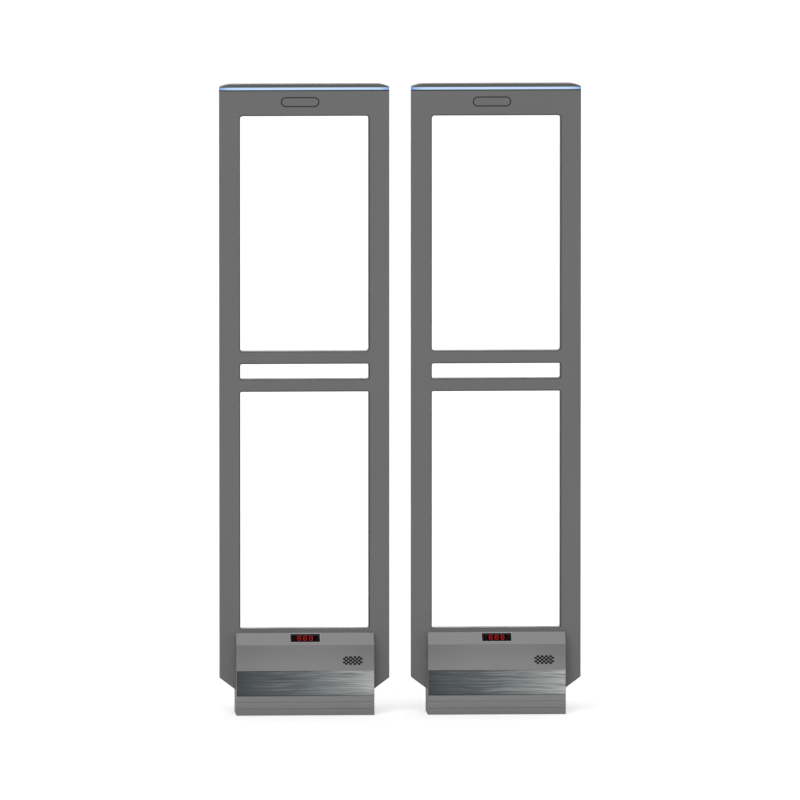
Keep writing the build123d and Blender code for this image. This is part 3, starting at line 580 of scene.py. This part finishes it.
def spring_steel():
    """Blued spring strip with rolling lines and brown specks."""
    look = Surface("spring_steel", Metallic=1.0)
    roll = look.noise(1.0, 3.0, look.stretched(400.0, 3000.0, 60.0))
    base = look.mix(roll, (0.28, 0.29, 0.32), (0.50, 0.51, 0.53))
    base = look.mix(look.spread(look.noise(90.0, 5.0), 0.55, 0.75, 0.0, 0.6), base, (0.24, 0.17, 0.11))
    look.feed(Base_Color=base, Roughness=look.spread(roll, 0.3, 0.7, 0.24, 0.42))
    look.feed(Normal=look.bump(roll, 0.02 * MM, 0.5))
    return look.material


def black_rubber():
    """Black rubber with a grey bloom in patches."""
    look = Surface("black_rubber", Specular_IOR_Level=0.35)
    bloom = look.noise(40.0, 5.0)
    base = look.mix(look.spread(bloom, 0.4, 0.75, 0.0, 1.0), (0.014, 0.014, 0.014), (0.040, 0.040, 0.042))
    look.feed(Base_Color=base, Roughness=look.spread(bloom, 0.3, 0.7, 0.50, 0.72))
    look.feed(Normal=look.bump(look.noise(900.0, 2.0), 0.05 * MM, 0.5))
    return look.material


def window_acrylic():
    """Dark smoked acrylic, clear enough for the lit digits behind it."""
    look = Surface("window_acrylic", Specular_IOR_Level=0.04, Alpha=0.45)
    dust = look.spread(look.noise(160.0, 6.0), 0.60, 0.74, 0.0, 0.08)
    base = look.mix(dust, (0.002, 0.002, 0.002), (0.10, 0.10, 0.10))
    hair = look.noise(1.0, 2.0, look.stretched(60.0, 900.0, 900.0))
    look.feed(Base_Color=base, Roughness=look.spread(hair, 0.4, 0.8, 0.07, 0.16))
    look.feed(Normal=look.bump(look.noise(25.0), 0.02 * MM, 0.2))
    return look.material


RIB_PITCH = 1.7453 * MM


def speaker_paper():
    """Pressed paper cone with fibres and ring-shaped ribs about each cone's middle."""
    look = Surface("speaker_paper", Specular_IOR_Level=0.2, Sheen_Weight=0.2)
    cone = middle(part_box("right_speaker_cone"))
    along = look.math("SUBTRACT", look.local_x(), cone.x - CENTRES["right"])
    up = look.math("SUBTRACT", look.axis("Z"), cone.z)
    out = look.math("SQRT", look.math("ADD", look.math("POWER", along, 2.0), look.math("POWER", up, 2.0)))
    ribs = look.waves(out, RIB_PITCH)
    fibres = look.noise(420.0, 5.0, distortion=1.5)
    base = look.mix(fibres, (0.012, 0.012, 0.012), (0.045, 0.044, 0.042))
    look.feed(Base_Color=base, Roughness=look.spread(fibres, 0.3, 0.7, 0.75, 0.92))
    look.feed(Normal=look.bump(ribs, 0.15 * MM, 0.7, look.bump(fibres, 0.05 * MM, 0.5)))
    return look.material


def supply_case():
    """Folded aluminium case with rolling lines and finger marks."""
    look = Surface("supply_case", Metallic=1.0, Anisotropic=0.4)
    rolled = look.noise(1.0, 4.0, look.stretched(30.0, 900.0, 1800.0))
    marks = look.noise(30.0, 5.0)
    base = look.mix(rolled, (0.44, 0.45, 0.46), (0.64, 0.65, 0.66))
    base = look.mix(look.math("MULTIPLY", look.edges(0.6 * MM), 0.4), base, (0.82, 0.82, 0.82))
    look.feed(Base_Color=base, Roughness=look.spread(marks, 0.35, 0.7, 0.28, 0.42))
    look.feed(Normal=look.bump(rolled, 0.02 * MM, 0.5))
    return look.material


def led_body():
    """A lit LED chip: yellowish gel with a cold white glow."""
    look = Surface("led_body", Specular_IOR_Level=0.6, Emission_Strength=0.8)
    gel = look.noise(900.0, 2.0)
    lit = look.mix(gel, (0.55, 0.72, 1.0), (0.80, 0.90, 1.0))
    look.feed(Base_Color=look.mix(gel, (0.60, 0.62, 0.50), (0.80, 0.80, 0.66)), Emission_Color=lit)
    look.feed(Roughness=look.spread(gel, 0.3, 0.7, 0.15, 0.3), Normal=look.bump(gel, 0.03 * MM, 0.4))
    return look.material


def white_nylon():
    """Natural nylon, cloudy and slightly translucent."""
    look = Surface("white_nylon", Specular_IOR_Level=0.4, Subsurface_Weight=0.08)
    cloud = look.noise(70.0, 4.0)
    base = look.mix(cloud, (0.62, 0.61, 0.56), (0.76, 0.75, 0.71))
    look.feed(Base_Color=base, Roughness=look.spread(cloud, 0.3, 0.7, 0.38, 0.55))
    look.feed(Normal=look.bump(look.noise(600.0), 0.03 * MM, 0.5))
    return look.material


def brass():
    """Turned brass with tarnish in patches."""
    look = Surface("brass", Metallic=1.0)
    turned = look.noise(1.0, 3.0, look.stretched(90.0, 6000.0, 90.0))
    base = look.mix(turned, (0.50, 0.34, 0.12), (0.72, 0.54, 0.22))
    base = look.mix(look.spread(look.noise(150.0, 4.0), 0.5, 0.75, 0.0, 0.6), base, (0.26, 0.17, 0.08))
    look.feed(Base_Color=base, Roughness=look.spread(turned, 0.3, 0.7, 0.20, 0.36))
    look.feed(Normal=look.bump(turned, 0.02 * MM, 0.5))
    return look.material


def terminal_plastic():
    return moulded_plastic("terminal_plastic", (0.022, 0.160, 0.060), 0.42, 600.0, 0.4, 0.4)


MATERIALS = {
    "frame_plastic": frame_plastic,
    "cover_plastic": cover_plastic,
    "cap_plastic": cap_plastic,
    "light_plastic": light_plastic,
    "circuit_board": circuit_board,
    "copper_coil": copper_coil,
    "zinc_steel": zinc_steel,
    "black_steel": black_steel,
    "stainless": stainless,
    "spring_steel": spring_steel,
    "black_rubber": black_rubber,
    "window_acrylic": window_acrylic,
    "black_plastic": black_plastic,
    "red_plastic": red_plastic,
    "speaker_paper": speaker_paper,
    "supply_case": supply_case,
    "led_body": led_body,
    "white_nylon": white_nylon,
    "brass": brass,
    "component_plastic": component_plastic,
    "terminal_plastic": terminal_plastic,
}
LOOKS = {slot: make() for slot, make in MATERIALS.items()}


def dress_nodes():
    """Gives every CAD node the finish of its slot."""
    for part in frame["record"]["subparts"]:
        node = frame["nodes"][part["node"]]
        if not node.material_slots:
            node.data.materials.append(None)
        for slot in node.material_slots:
            slot.link = "OBJECT"
            slot.material = LOOKS[part["material_slot"]]


# ---- pieces -------------------------------------------------------------------------------
def glowing_red(name, strength, colour):
    """A moulded light bar of a digit, lit from behind, with a slightly uneven glow; on the unlit bars the
    faint glow is painted light.
    """
    look = Surface(name, Specular_IOR_Level=0.3, Emission_Strength=strength)
    cloud = look.noise(500.0, 2.0)
    glow = look.mix(cloud, shade(colour, 0.9), colour)
    look.feed(Base_Color=shade(colour, 0.25), Emission_Color=glow)
    look.feed(Roughness=look.spread(cloud, 0.3, 0.7, 0.3, 0.5), Normal=look.bump(cloud, 0.02 * MM, 0.3))
    return look.material


def rounded_outline(width, height, radius, steps=6):
    """Points round a rectangle with rounded corners, anticlockwise, about 0, 0."""
    points = []
    for corner, (side_x, side_y) in enumerate(((1, 1), (-1, 1), (-1, -1), (1, -1))):
        middle_x = side_x * (width / 2 - radius)
        middle_y = side_y * (height / 2 - radius)
        for step in range(steps + 1):
            angle = math.radians(90 * (corner + step / steps))
            points.append((middle_x + radius * math.cos(angle), middle_y + radius * math.sin(angle)))
    return points


def pill_outline(width, height, steps=6):
    """Points round an outline with half-round ends, which stay apart by a hair."""
    return rounded_outline(width, height, height / 2 - 0.01 * MM, steps)


def add_plate(mesh, outer, inner, near, far, place):
    """Adds a closed plate between two depths, or a ring when it has an inner outline."""
    loops = []
    for outline in (outer, inner) if inner else (outer,):
        for depth in (near, far):
            loops.append([mesh.verts.new(place @ Vector((u, v, depth))) for u, v in outline])
    count = len(outer)
    for i in range(count):
        j = (i + 1) % count
        mesh.faces.new((loops[0][i], loops[0][j], loops[1][j], loops[1][i]))
        if inner:
            mesh.faces.new((loops[2][j], loops[2][i], loops[3][i], loops[3][j]))
            mesh.faces.new((loops[0][j], loops[0][i], loops[2][i], loops[2][j]))
            mesh.faces.new((loops[1][i], loops[1][j], loops[3][j], loops[3][i]))
    if not inner:
        mesh.faces.new(list(reversed(loops[0])))
        mesh.faces.new(loops[1])


def linked_object(name, mesh):
    """Turns a bmesh into an object of the scene."""
    data = bpy.data.meshes.new(name)
    mesh.to_mesh(data)
    mesh.free()
    made = bpy.data.objects.new(name, data)
    bpy.context.scene.collection.objects.link(made)
    return made


def finish_piece(name, mesh, material, body):
    """Makes a piece of the object, with its finish, and lets it ride on a body."""
    bmesh.ops.recalc_face_normals(mesh, faces=mesh.faces)
    piece = linked_object(name, mesh)
    piece.data.materials.append(material)
    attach(piece, body)
    return piece


def facing_front(x, y, z):
    """A plane on the shoppers' side: u to the right, v up, depth outwards."""
    return Matrix(((1, 0, 0, x), (0, 0, -1, y), (0, 1, 0, z), (0, 0, 0, 1)))


# The slanted strip: its lower edge is on the cover's front, its upper edge on the ledge.
STRIP_RUN = 26.0 * MM
STRIP_RISE = 27.5 * MM
STRIP_MIDDLE = (-47.0 * MM, 193.25 * MM)
WINDOW_RISE = 3.0 * MM


def on_strip(x):
    """A plane on the slanted strip, about the window's middle."""
    length = math.hypot(STRIP_RUN, STRIP_RISE)
    up_y = STRIP_RUN / length
    up_z = STRIP_RISE / length
    y = STRIP_MIDDLE[0] + WINDOW_RISE * up_y
    z = STRIP_MIDDLE[1] + WINDOW_RISE * up_z
    return Matrix(((1, 0, 0, x), (0, up_y, -up_z, y), (0, up_z, up_y, z), (0, 0, 0, 1)))


DIGIT_PITCH = 14.9 * MM
DIGIT_WIDTH = 8.7 * MM
DIGIT_HEIGHT = 14.6 * MM
BAR = 1.3 * MM
BAR_GAP = 0.25 * MM
BAR_THICKNESS = 0.3 * MM
DIGIT_RISE = 2.0 * MM
FACE_SIZE = (70.0 * MM, 20.0 * MM)
FACE_THICKNESS = 0.15 * MM
MODULE_FACE = -3.5 * MM
LIT_CELLS = (-1, 0, 1)
CELLS = (-2, -1, 0, 1, 2)
DIGIT_LOOKS = {
    "lit": glowing_red("lit_digit", 1.6, (1.0, 0.020, 0.022)),
    # the unlit digits glow faintly: painted light
    "unlit": glowing_red("unlit_digit", 0.05, (0.30, 0.02, 0.02)),
}


def bar_outline(length):
    """A digit's bar: a long hexagon along u."""
    end = length / 2
    half = BAR / 2
    shoulder = end - half
    return [(-end, 0), (-shoulder, -half), (shoulder, -half), (end, 0), (shoulder, half), (-shoulder, half)]


def add_digit(mesh, cell, near, far, place):
    """Adds a digit's seven bars, all of which are alight in an eight."""
    across = DIGIT_WIDTH - BAR - 2 * BAR_GAP
    tall = DIGIT_HEIGHT / 2 - BAR / 2 - 2 * BAR_GAP
    side = DIGIT_WIDTH / 2 - BAR / 2
    quarter = (DIGIT_HEIGHT - BAR) / 4
    bars = [(0, level, 0) for level in (-2 * quarter, 0, 2 * quarter)]
    bars += [(u, level, 90) for u in (-side, side) for level in (-quarter, quarter)]
    for u, v, turn in bars:
        outline = []
        for a, b in bar_outline(tall if turn else across):
            if turn:
                a, b = -b, a
            outline.append((cell * DIGIT_PITCH + u + a, DIGIT_RISE + v + b))
        add_plate(mesh, outline, None, near, far, place)


def make_display(side):
    """The display module's dark face, with its lit and its unlit digits."""
    place = on_strip(CENTRES[side])
    face = bmesh.new()
    top = MODULE_FACE + FACE_THICKNESS
    add_plate(face, rounded_outline(*FACE_SIZE, WINDOW_CORNER), None, MODULE_FACE, top, place)
    finish_piece(f"{side}_display_face", face, FILTER, PEDESTALS)
    for kind, cells in (("lit", LIT_CELLS), ("unlit", [c for c in CELLS if c not in LIT_CELLS])):
        digits = bmesh.new()
        for cell in cells:
            add_digit(digits, cell, top, top + BAR_THICKNESS, place)
        finish_piece(f"{side}_{kind}_digits", digits, DIGIT_LOOKS[kind], PEDESTALS)


def bezel_plastic():
    """The paler grey plastic of the window's rim."""
    return moulded_plastic("bezel_plastic", (0.29, 0.29, 0.30), 0.35, 700.0, 0.5, 0.4)


def gap_shade_rubber():
    """Matt black rubber of the rings that stand in for the shade in the badge's groove and under the
    diffuser.
    """
    look = Surface("gap_shade_rubber", Specular_IOR_Level=0.25)
    cloud = look.noise(150.0, 4.0)
    look.feed(Base_Color=look.mix(cloud, (0.008, 0.008, 0.009), (0.020, 0.021, 0.022)))
    look.feed(Roughness=look.spread(cloud, 0.3, 0.7, 0.6, 0.8), Normal=look.bump(cloud, 0.04 * MM, 0.4))
    return look.material


THREAD_PITCH = 0.8976 * MM


def speaker_cloth():
    """Black woven cloth behind the grille, near black so that it also stands in for the shade behind the
    slots.
    """
    look = Surface("speaker_cloth", Specular_IOR_Level=0.1, Sheen_Weight=0.3)
    weave = look.every(look.waves(look.axis("X"), THREAD_PITCH), look.waves(look.axis("Z"), THREAD_PITCH))
    thread = look.spread(weave, -1.0, 1.0, 0.0, 1.0)
    look.feed(Base_Color=look.mix(thread, (0.004, 0.004, 0.004), (0.016, 0.016, 0.017)))
    look.feed(Roughness=look.spread(weave, -1.0, 1.0, 0.8, 0.95), Normal=look.bump(weave, 0.1 * MM, 0.8))
    return look.material


FILTER = moulded_plastic("filter_black", (0.0025, 0.0022, 0.0022), 0.5, 900.0, 0.1, 0.05)
BEZEL = bezel_plastic()
GAP_SHADE_RUBBER = gap_shade_rubber()
CLOTH = speaker_cloth()


WINDOW_LENGTH = 73.0 * MM
WINDOW_HEIGHT = 23.6 * MM
WINDOW_CORNER = 0.8 * MM
WINDOW_SEAL = 1.2 * MM
BEZEL_WIDTH = 1.4 * MM


def add_window_ring(mesh, inside, width, proud, place):
    """Adds a ring round the window, from that far outside its edge."""
    outer, inner = (
        rounded_outline(WINDOW_LENGTH + 2 * grown, WINDOW_HEIGHT + 2 * grown, WINDOW_CORNER)
        for grown in (inside + width, inside)
    )
    add_plate(mesh, outer, inner, 0.0, proud, place)


def make_window_bezel(side):
    """A black seal and a pale raised rim round the display window."""
    place = on_strip(CENTRES[side])
    seal = bmesh.new()
    add_window_ring(seal, 0.0, WINDOW_SEAL, 0.30 * MM, place)
    finish_piece(f"{side}_window_seal", seal, FILTER, f"{side}_front_cover")
    bezel = bmesh.new()
    add_window_ring(bezel, WINDOW_SEAL, BEZEL_WIDTH, 0.45 * MM, place)
    finish_piece(f"{side}_window_bezel", bezel, BEZEL, f"{side}_front_cover")


# How far the groove, the lip over its edge and the badge's play reach past the badge.
GROOVE = 2.15 * MM
LIP = 2.9 * MM
BADGE_PLAY = 0.1 * MM


def make_badge_groove_shade(side):
    """A black ring in the groove round the blank badge, with a thin lip over the groove's edge; it stands
    in for the shade in the groove.
    """
    low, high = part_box(f"{side}_badge_plate")
    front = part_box(f"{side}_front_frame_shell")[0].y
    badge = middle((low, high))
    width = high.x - low.x
    height = high.z - low.z
    groove, inner = (
        pill_outline(width + 2 * grown, height + 2 * grown, 12) for grown in (GROOVE, BADGE_PLAY)
    )
    lip = rounded_outline(width + 2 * LIP, height + 2 * LIP, height / 2 + LIP - 0.1 * MM, 12)
    ring = bmesh.new()
    place = facing_front(badge.x, front, badge.z)
    add_plate(ring, groove, inner, -1.4 * MM, -0.2 * MM, place)
    add_plate(ring, lip, inner, 0.0, 0.15 * MM, place)
    finish_piece(f"{side}_badge_groove_shade", ring, GAP_SHADE_RUBBER, PEDESTALS)


def add_diffuser_ring(mesh, side, level, near, far):
    """Adds a flat ring on the diffuser's outline, between two heights from a level."""
    low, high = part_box(f"{side}_light_diffuser")
    centre = middle((low, high))
    width = high.x - low.x
    depth = high.y - low.y
    outer = rounded_outline(width, depth + 0.2 * MM, 2.0 * MM)
    inner = rounded_outline(width - 4.0 * MM, depth - 4.0 * MM, 1.0 * MM)
    add_plate(mesh, outer, inner, near, far, Matrix.Translation((centre.x, centre.y, level)))


def make_light_gap_shade(side):
    """A black ring between the top rail and the diffuser, standing in for the shadow line in the gap there.
    """
    ring = bmesh.new()
    add_diffuser_ring(ring, side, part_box(f"{side}_light_diffuser")[0].z, -1.5 * MM, 1.2 * MM)
    finish_piece(f"{side}_light_gap_shade", ring, GAP_SHADE_RUBBER, PEDESTALS)


def make_cap_skirt(side):
    """The cap's thin lower rim, over the diffuser's upper edge."""
    ring = bmesh.new()
    add_diffuser_ring(ring, side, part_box(f"{side}_light_diffuser")[1].z, -1.1 * MM, 0.0)
    finish_piece(f"{side}_cap_skirt", ring, LOOKS["cap_plastic"], PEDESTALS)


GRILLE_COUNTS = (4, 5, 4, 5, 4)
GRILLE_PITCH = 10.8 * MM
GRILLE_ROW_PITCH = 4.3 * MM
SLOT_LENGTH = 6.0 * MM
SLOT_HEIGHT = 3.6 * MM
SLOT_RIM = 0.6 * MM


def make_grille_shade_rims(side):
    """A thin black lip round each of the grille's slots, half as proud as the kick plate, standing in for
    the shade at the slots' edges.
    """
    grille = middle(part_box(f"{side}_speaker"))
    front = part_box(f"{side}_front_cover")[0].y
    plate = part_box(f"{side}_front_kick_plate")[0].y
    rims = bmesh.new()
    inner = pill_outline(SLOT_LENGTH, SLOT_HEIGHT)
    outer = pill_outline(SLOT_LENGTH + 2 * SLOT_RIM, SLOT_HEIGHT + 2 * SLOT_RIM)
    for row, count in enumerate(GRILLE_COUNTS):
        z = grille.z + (row - (len(GRILLE_COUNTS) - 1) / 2) * GRILLE_ROW_PITCH
        for i in range(count):
            x = grille.x + (i - (count - 1) / 2) * GRILLE_PITCH
            add_plate(rims, outer, inner, 0.0, (front - plate) / 2, facing_front(x, front, z))
    finish_piece(f"{side}_grille_shade_rims", rims, FILTER, f"{side}_front_cover")


COVER_WALL = 2.5 * MM
CLOTH_PAST_SPEAKER = 12.0 * MM
CLOTH_SHORT_OF_SPEAKER = 14.0 * MM


def make_grille_cloth(side):
    """Cloth behind the grille's slots, on the inside of the cover: wider than the speaker, and lower. Its
    near-black sheet also stands in for the shade behind the slots.
    """
    low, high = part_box(f"{side}_speaker")
    speaker = middle((low, high))
    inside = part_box(f"{side}_front_cover")[0].y + COVER_WALL
    sheet = bmesh.new()
    width = high.x - low.x + CLOTH_PAST_SPEAKER
    height = high.z - low.z - CLOTH_SHORT_OF_SPEAKER
    place = facing_front(speaker.x, inside, speaker.z)
    add_plate(sheet, rounded_outline(width, height, 3.0 * MM), None, -0.5 * MM, -0.05 * MM, place)
    finish_piece(f"{side}_grille_cloth", sheet, CLOTH, f"{side}_front_cover")


# ---- finer copies of CAD nodes ------------------------------------------------------------
def copied_mesh(node):
    """A CAD node's mesh as a bmesh with its split corners joined, and its separate solids."""
    mesh = bmesh.new()
    mesh.from_mesh(frame["nodes"][node].data)
    bmesh.ops.remove_doubles(mesh, verts=mesh.verts, dist=0.001 * MM)
    taken = set()
    solids = []
    for first in mesh.faces:
        if first in taken:
            continue
        taken.add(first)
        solid = [first]
        for face in solid:
            for edge in face.edges:
                for other in edge.link_faces:
                    if other not in taken:
                        taken.add(other)
                        solid.append(other)
        solids.append(solid)
    return mesh, solids


def corners(solid):
    """The lowest and highest corners of a list of faces."""
    points = [vertex.co for face in solid for vertex in face.verts]
    low = Vector(min(p[i] for p in points) for i in range(3))
    high = Vector(max(p[i] for p in points) for i in range(3))
    return low, high


def sleeve():
    """A capacitor's shrunk sleeve: dark blue, a little cloudy."""
    look = Surface("capacitor_sleeve", Specular_IOR_Level=0.5, Coat_Weight=0.4, Coat_Roughness=0.1)
    cloud = look.noise(260.0, 2.0)
    look.feed(Base_Color=look.mix(cloud, (0.010, 0.014, 0.045), (0.018, 0.024, 0.075)))
    look.feed(Roughness=look.spread(cloud, 0.3, 0.7, 0.18, 0.32), Normal=look.bump(cloud, 0.05 * MM, 0.4))
    return look.material


def anodised():
    """Black anodised aluminium, drawn along Z."""
    look = Surface("black_anodised", Metallic=0.8)
    drawn = look.noise(1.0, 3.0, look.stretched(2600.0, 2600.0, 40.0))
    base = look.mix(drawn, (0.018, 0.018, 0.020), (0.050, 0.050, 0.054))
    base = look.mix(look.math("MULTIPLY", look.edges(0.3 * MM), 0.5), base, (0.30, 0.30, 0.31))
    look.feed(Base_Color=base, Roughness=look.spread(drawn, 0.3, 0.7, 0.30, 0.45))
    look.feed(Normal=look.bump(drawn, 0.03 * MM, 0.6))
    return look.material


# A component is told from the others by its size: chips are flat, the heat sink is tall, cans are long.
CHIP_DEPTH = 4.0 * MM
FINS_HEIGHT = 30.0 * MM
CAN_DEPTH = 15.0 * MM


def make_components():
    """The control boards' components, each kind in its own finish."""
    mesh, solids = copied_mesh("board_components")
    finishes = [LOOKS[slot] for slot in ("component_plastic", "supply_case", "white_nylon")]
    finishes += [sleeve(), anodised()]
    epoxy, metal, nylon, wrap, fins = range(len(finishes))
    for solid in solids:
        low, high = corners(solid)
        size = high - low
        round_one = abs(size.x - size.z) < 0.3 * MM
        if size.y < CHIP_DEPTH:
            finish = epoxy
        elif size.z > FINS_HEIGHT:
            finish = fins
        elif round_one and size.y > CAN_DEPTH:
            finish = wrap
        else:
            finish = metal if round_one else nylon
        for face in solid:
            top = face.normal.y < -0.9 and face.calc_center_median().y < low.y + 0.2 * MM
            face.material_index = metal if finish == wrap and top else finish
    piece = finish_piece("fitted_components", mesh, finishes[0], PEDESTALS)
    for finish in finishes[1:]:
        piece.data.materials.append(finish)
    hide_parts("board_components")


RECESS_REACH = 1.75 * MM
RECESS_WIDTH = 0.62 * MM
RECESS_DEPTH = 1.3 * MM


def make_screws():
    """The rear screws, with a cross recess in each head."""
    mesh, solids = copied_mesh("frame_screws")
    cutter = bmesh.new()
    arm = RECESS_REACH
    half = RECESS_WIDTH / 2
    cross = [(arm, -half), (arm, half), (half, half), (half, arm), (-half, arm), (-half, half)]
    cross += [(-u, -v) for u, v in cross]
    for solid in solids:
        low, high = corners(solid)
        head = middle((low, high))
        back = Matrix(((-1, 0, 0, head.x), (0, 0, 1, high.y), (0, 1, 0, head.z), (0, 0, 0, 1)))
        add_plate(cutter, cross, None, -RECESS_DEPTH, 0.5 * MM, back)
    bmesh.ops.recalc_face_normals(cutter, faces=cutter.faces)
    tool = linked_object("recess_tool", cutter)
    piece = finish_piece("cross_head_screws", mesh, LOOKS["zinc_steel"], PEDESTALS)
    cut = piece.modifiers.new("recess", "BOOLEAN")
    cut.operation = "DIFFERENCE"
    cut.solver = "EXACT"
    cut.object = tool
    bpy.context.view_layer.update()
    made = bpy.data.meshes.new_from_object(piece.evaluated_get(bpy.context.evaluated_depsgraph_get()))
    piece.modifiers.clear()
    piece.data = made
    bpy.data.objects.remove(tool)
    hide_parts("frame_screws")


# ---- floor --------------------------------------------------------------------------------
FLOOR_SIZE = 60.0


def make_floor():
    """A pale floor that keeps the shadow and meets the white background."""
    look = Surface("floor", Specular_IOR_Level=0.0, Roughness=0.9)
    mottle = look.noise(6.0, 4.0)
    look.feed(Base_Color=look.mix(mottle, (0.62, 0.62, 0.62), (0.64, 0.64, 0.64)))
    path = look.node("LightPath")
    look.feed(Emission_Strength=look.math("MULTIPLY", path.outputs["Is Camera Ray"], 0.42))
    look.feed(Emission_Color=(1.0, 1.0, 1.0))
    mesh = bmesh.new()
    bmesh.ops.create_grid(mesh, x_segments=8, y_segments=8, size=FLOOR_SIZE)
    floor = linked_object("floor", mesh)
    floor.location.z = -0.2 * MM
    floor.data.materials.append(look.material)


make_camera()
make_world()
make_sun("key", -12.0, 40.0, 2.1, 50.0)
make_sun("fill", 165.0, 30.0, 1.1, 60.0)
bpy.context.scene.view_settings.view_transform = "Standard"
dress_nodes()
for side in SIDES:
    make_display(side)
    make_window_bezel(side)
    make_badge_groove_shade(side)
    make_light_gap_shade(side)
    make_cap_skirt(side)
    make_grille_shade_rims(side)
    make_grille_cloth(side)
make_components()
make_screws()
make_floor()

bpy.context.view_layer.update()
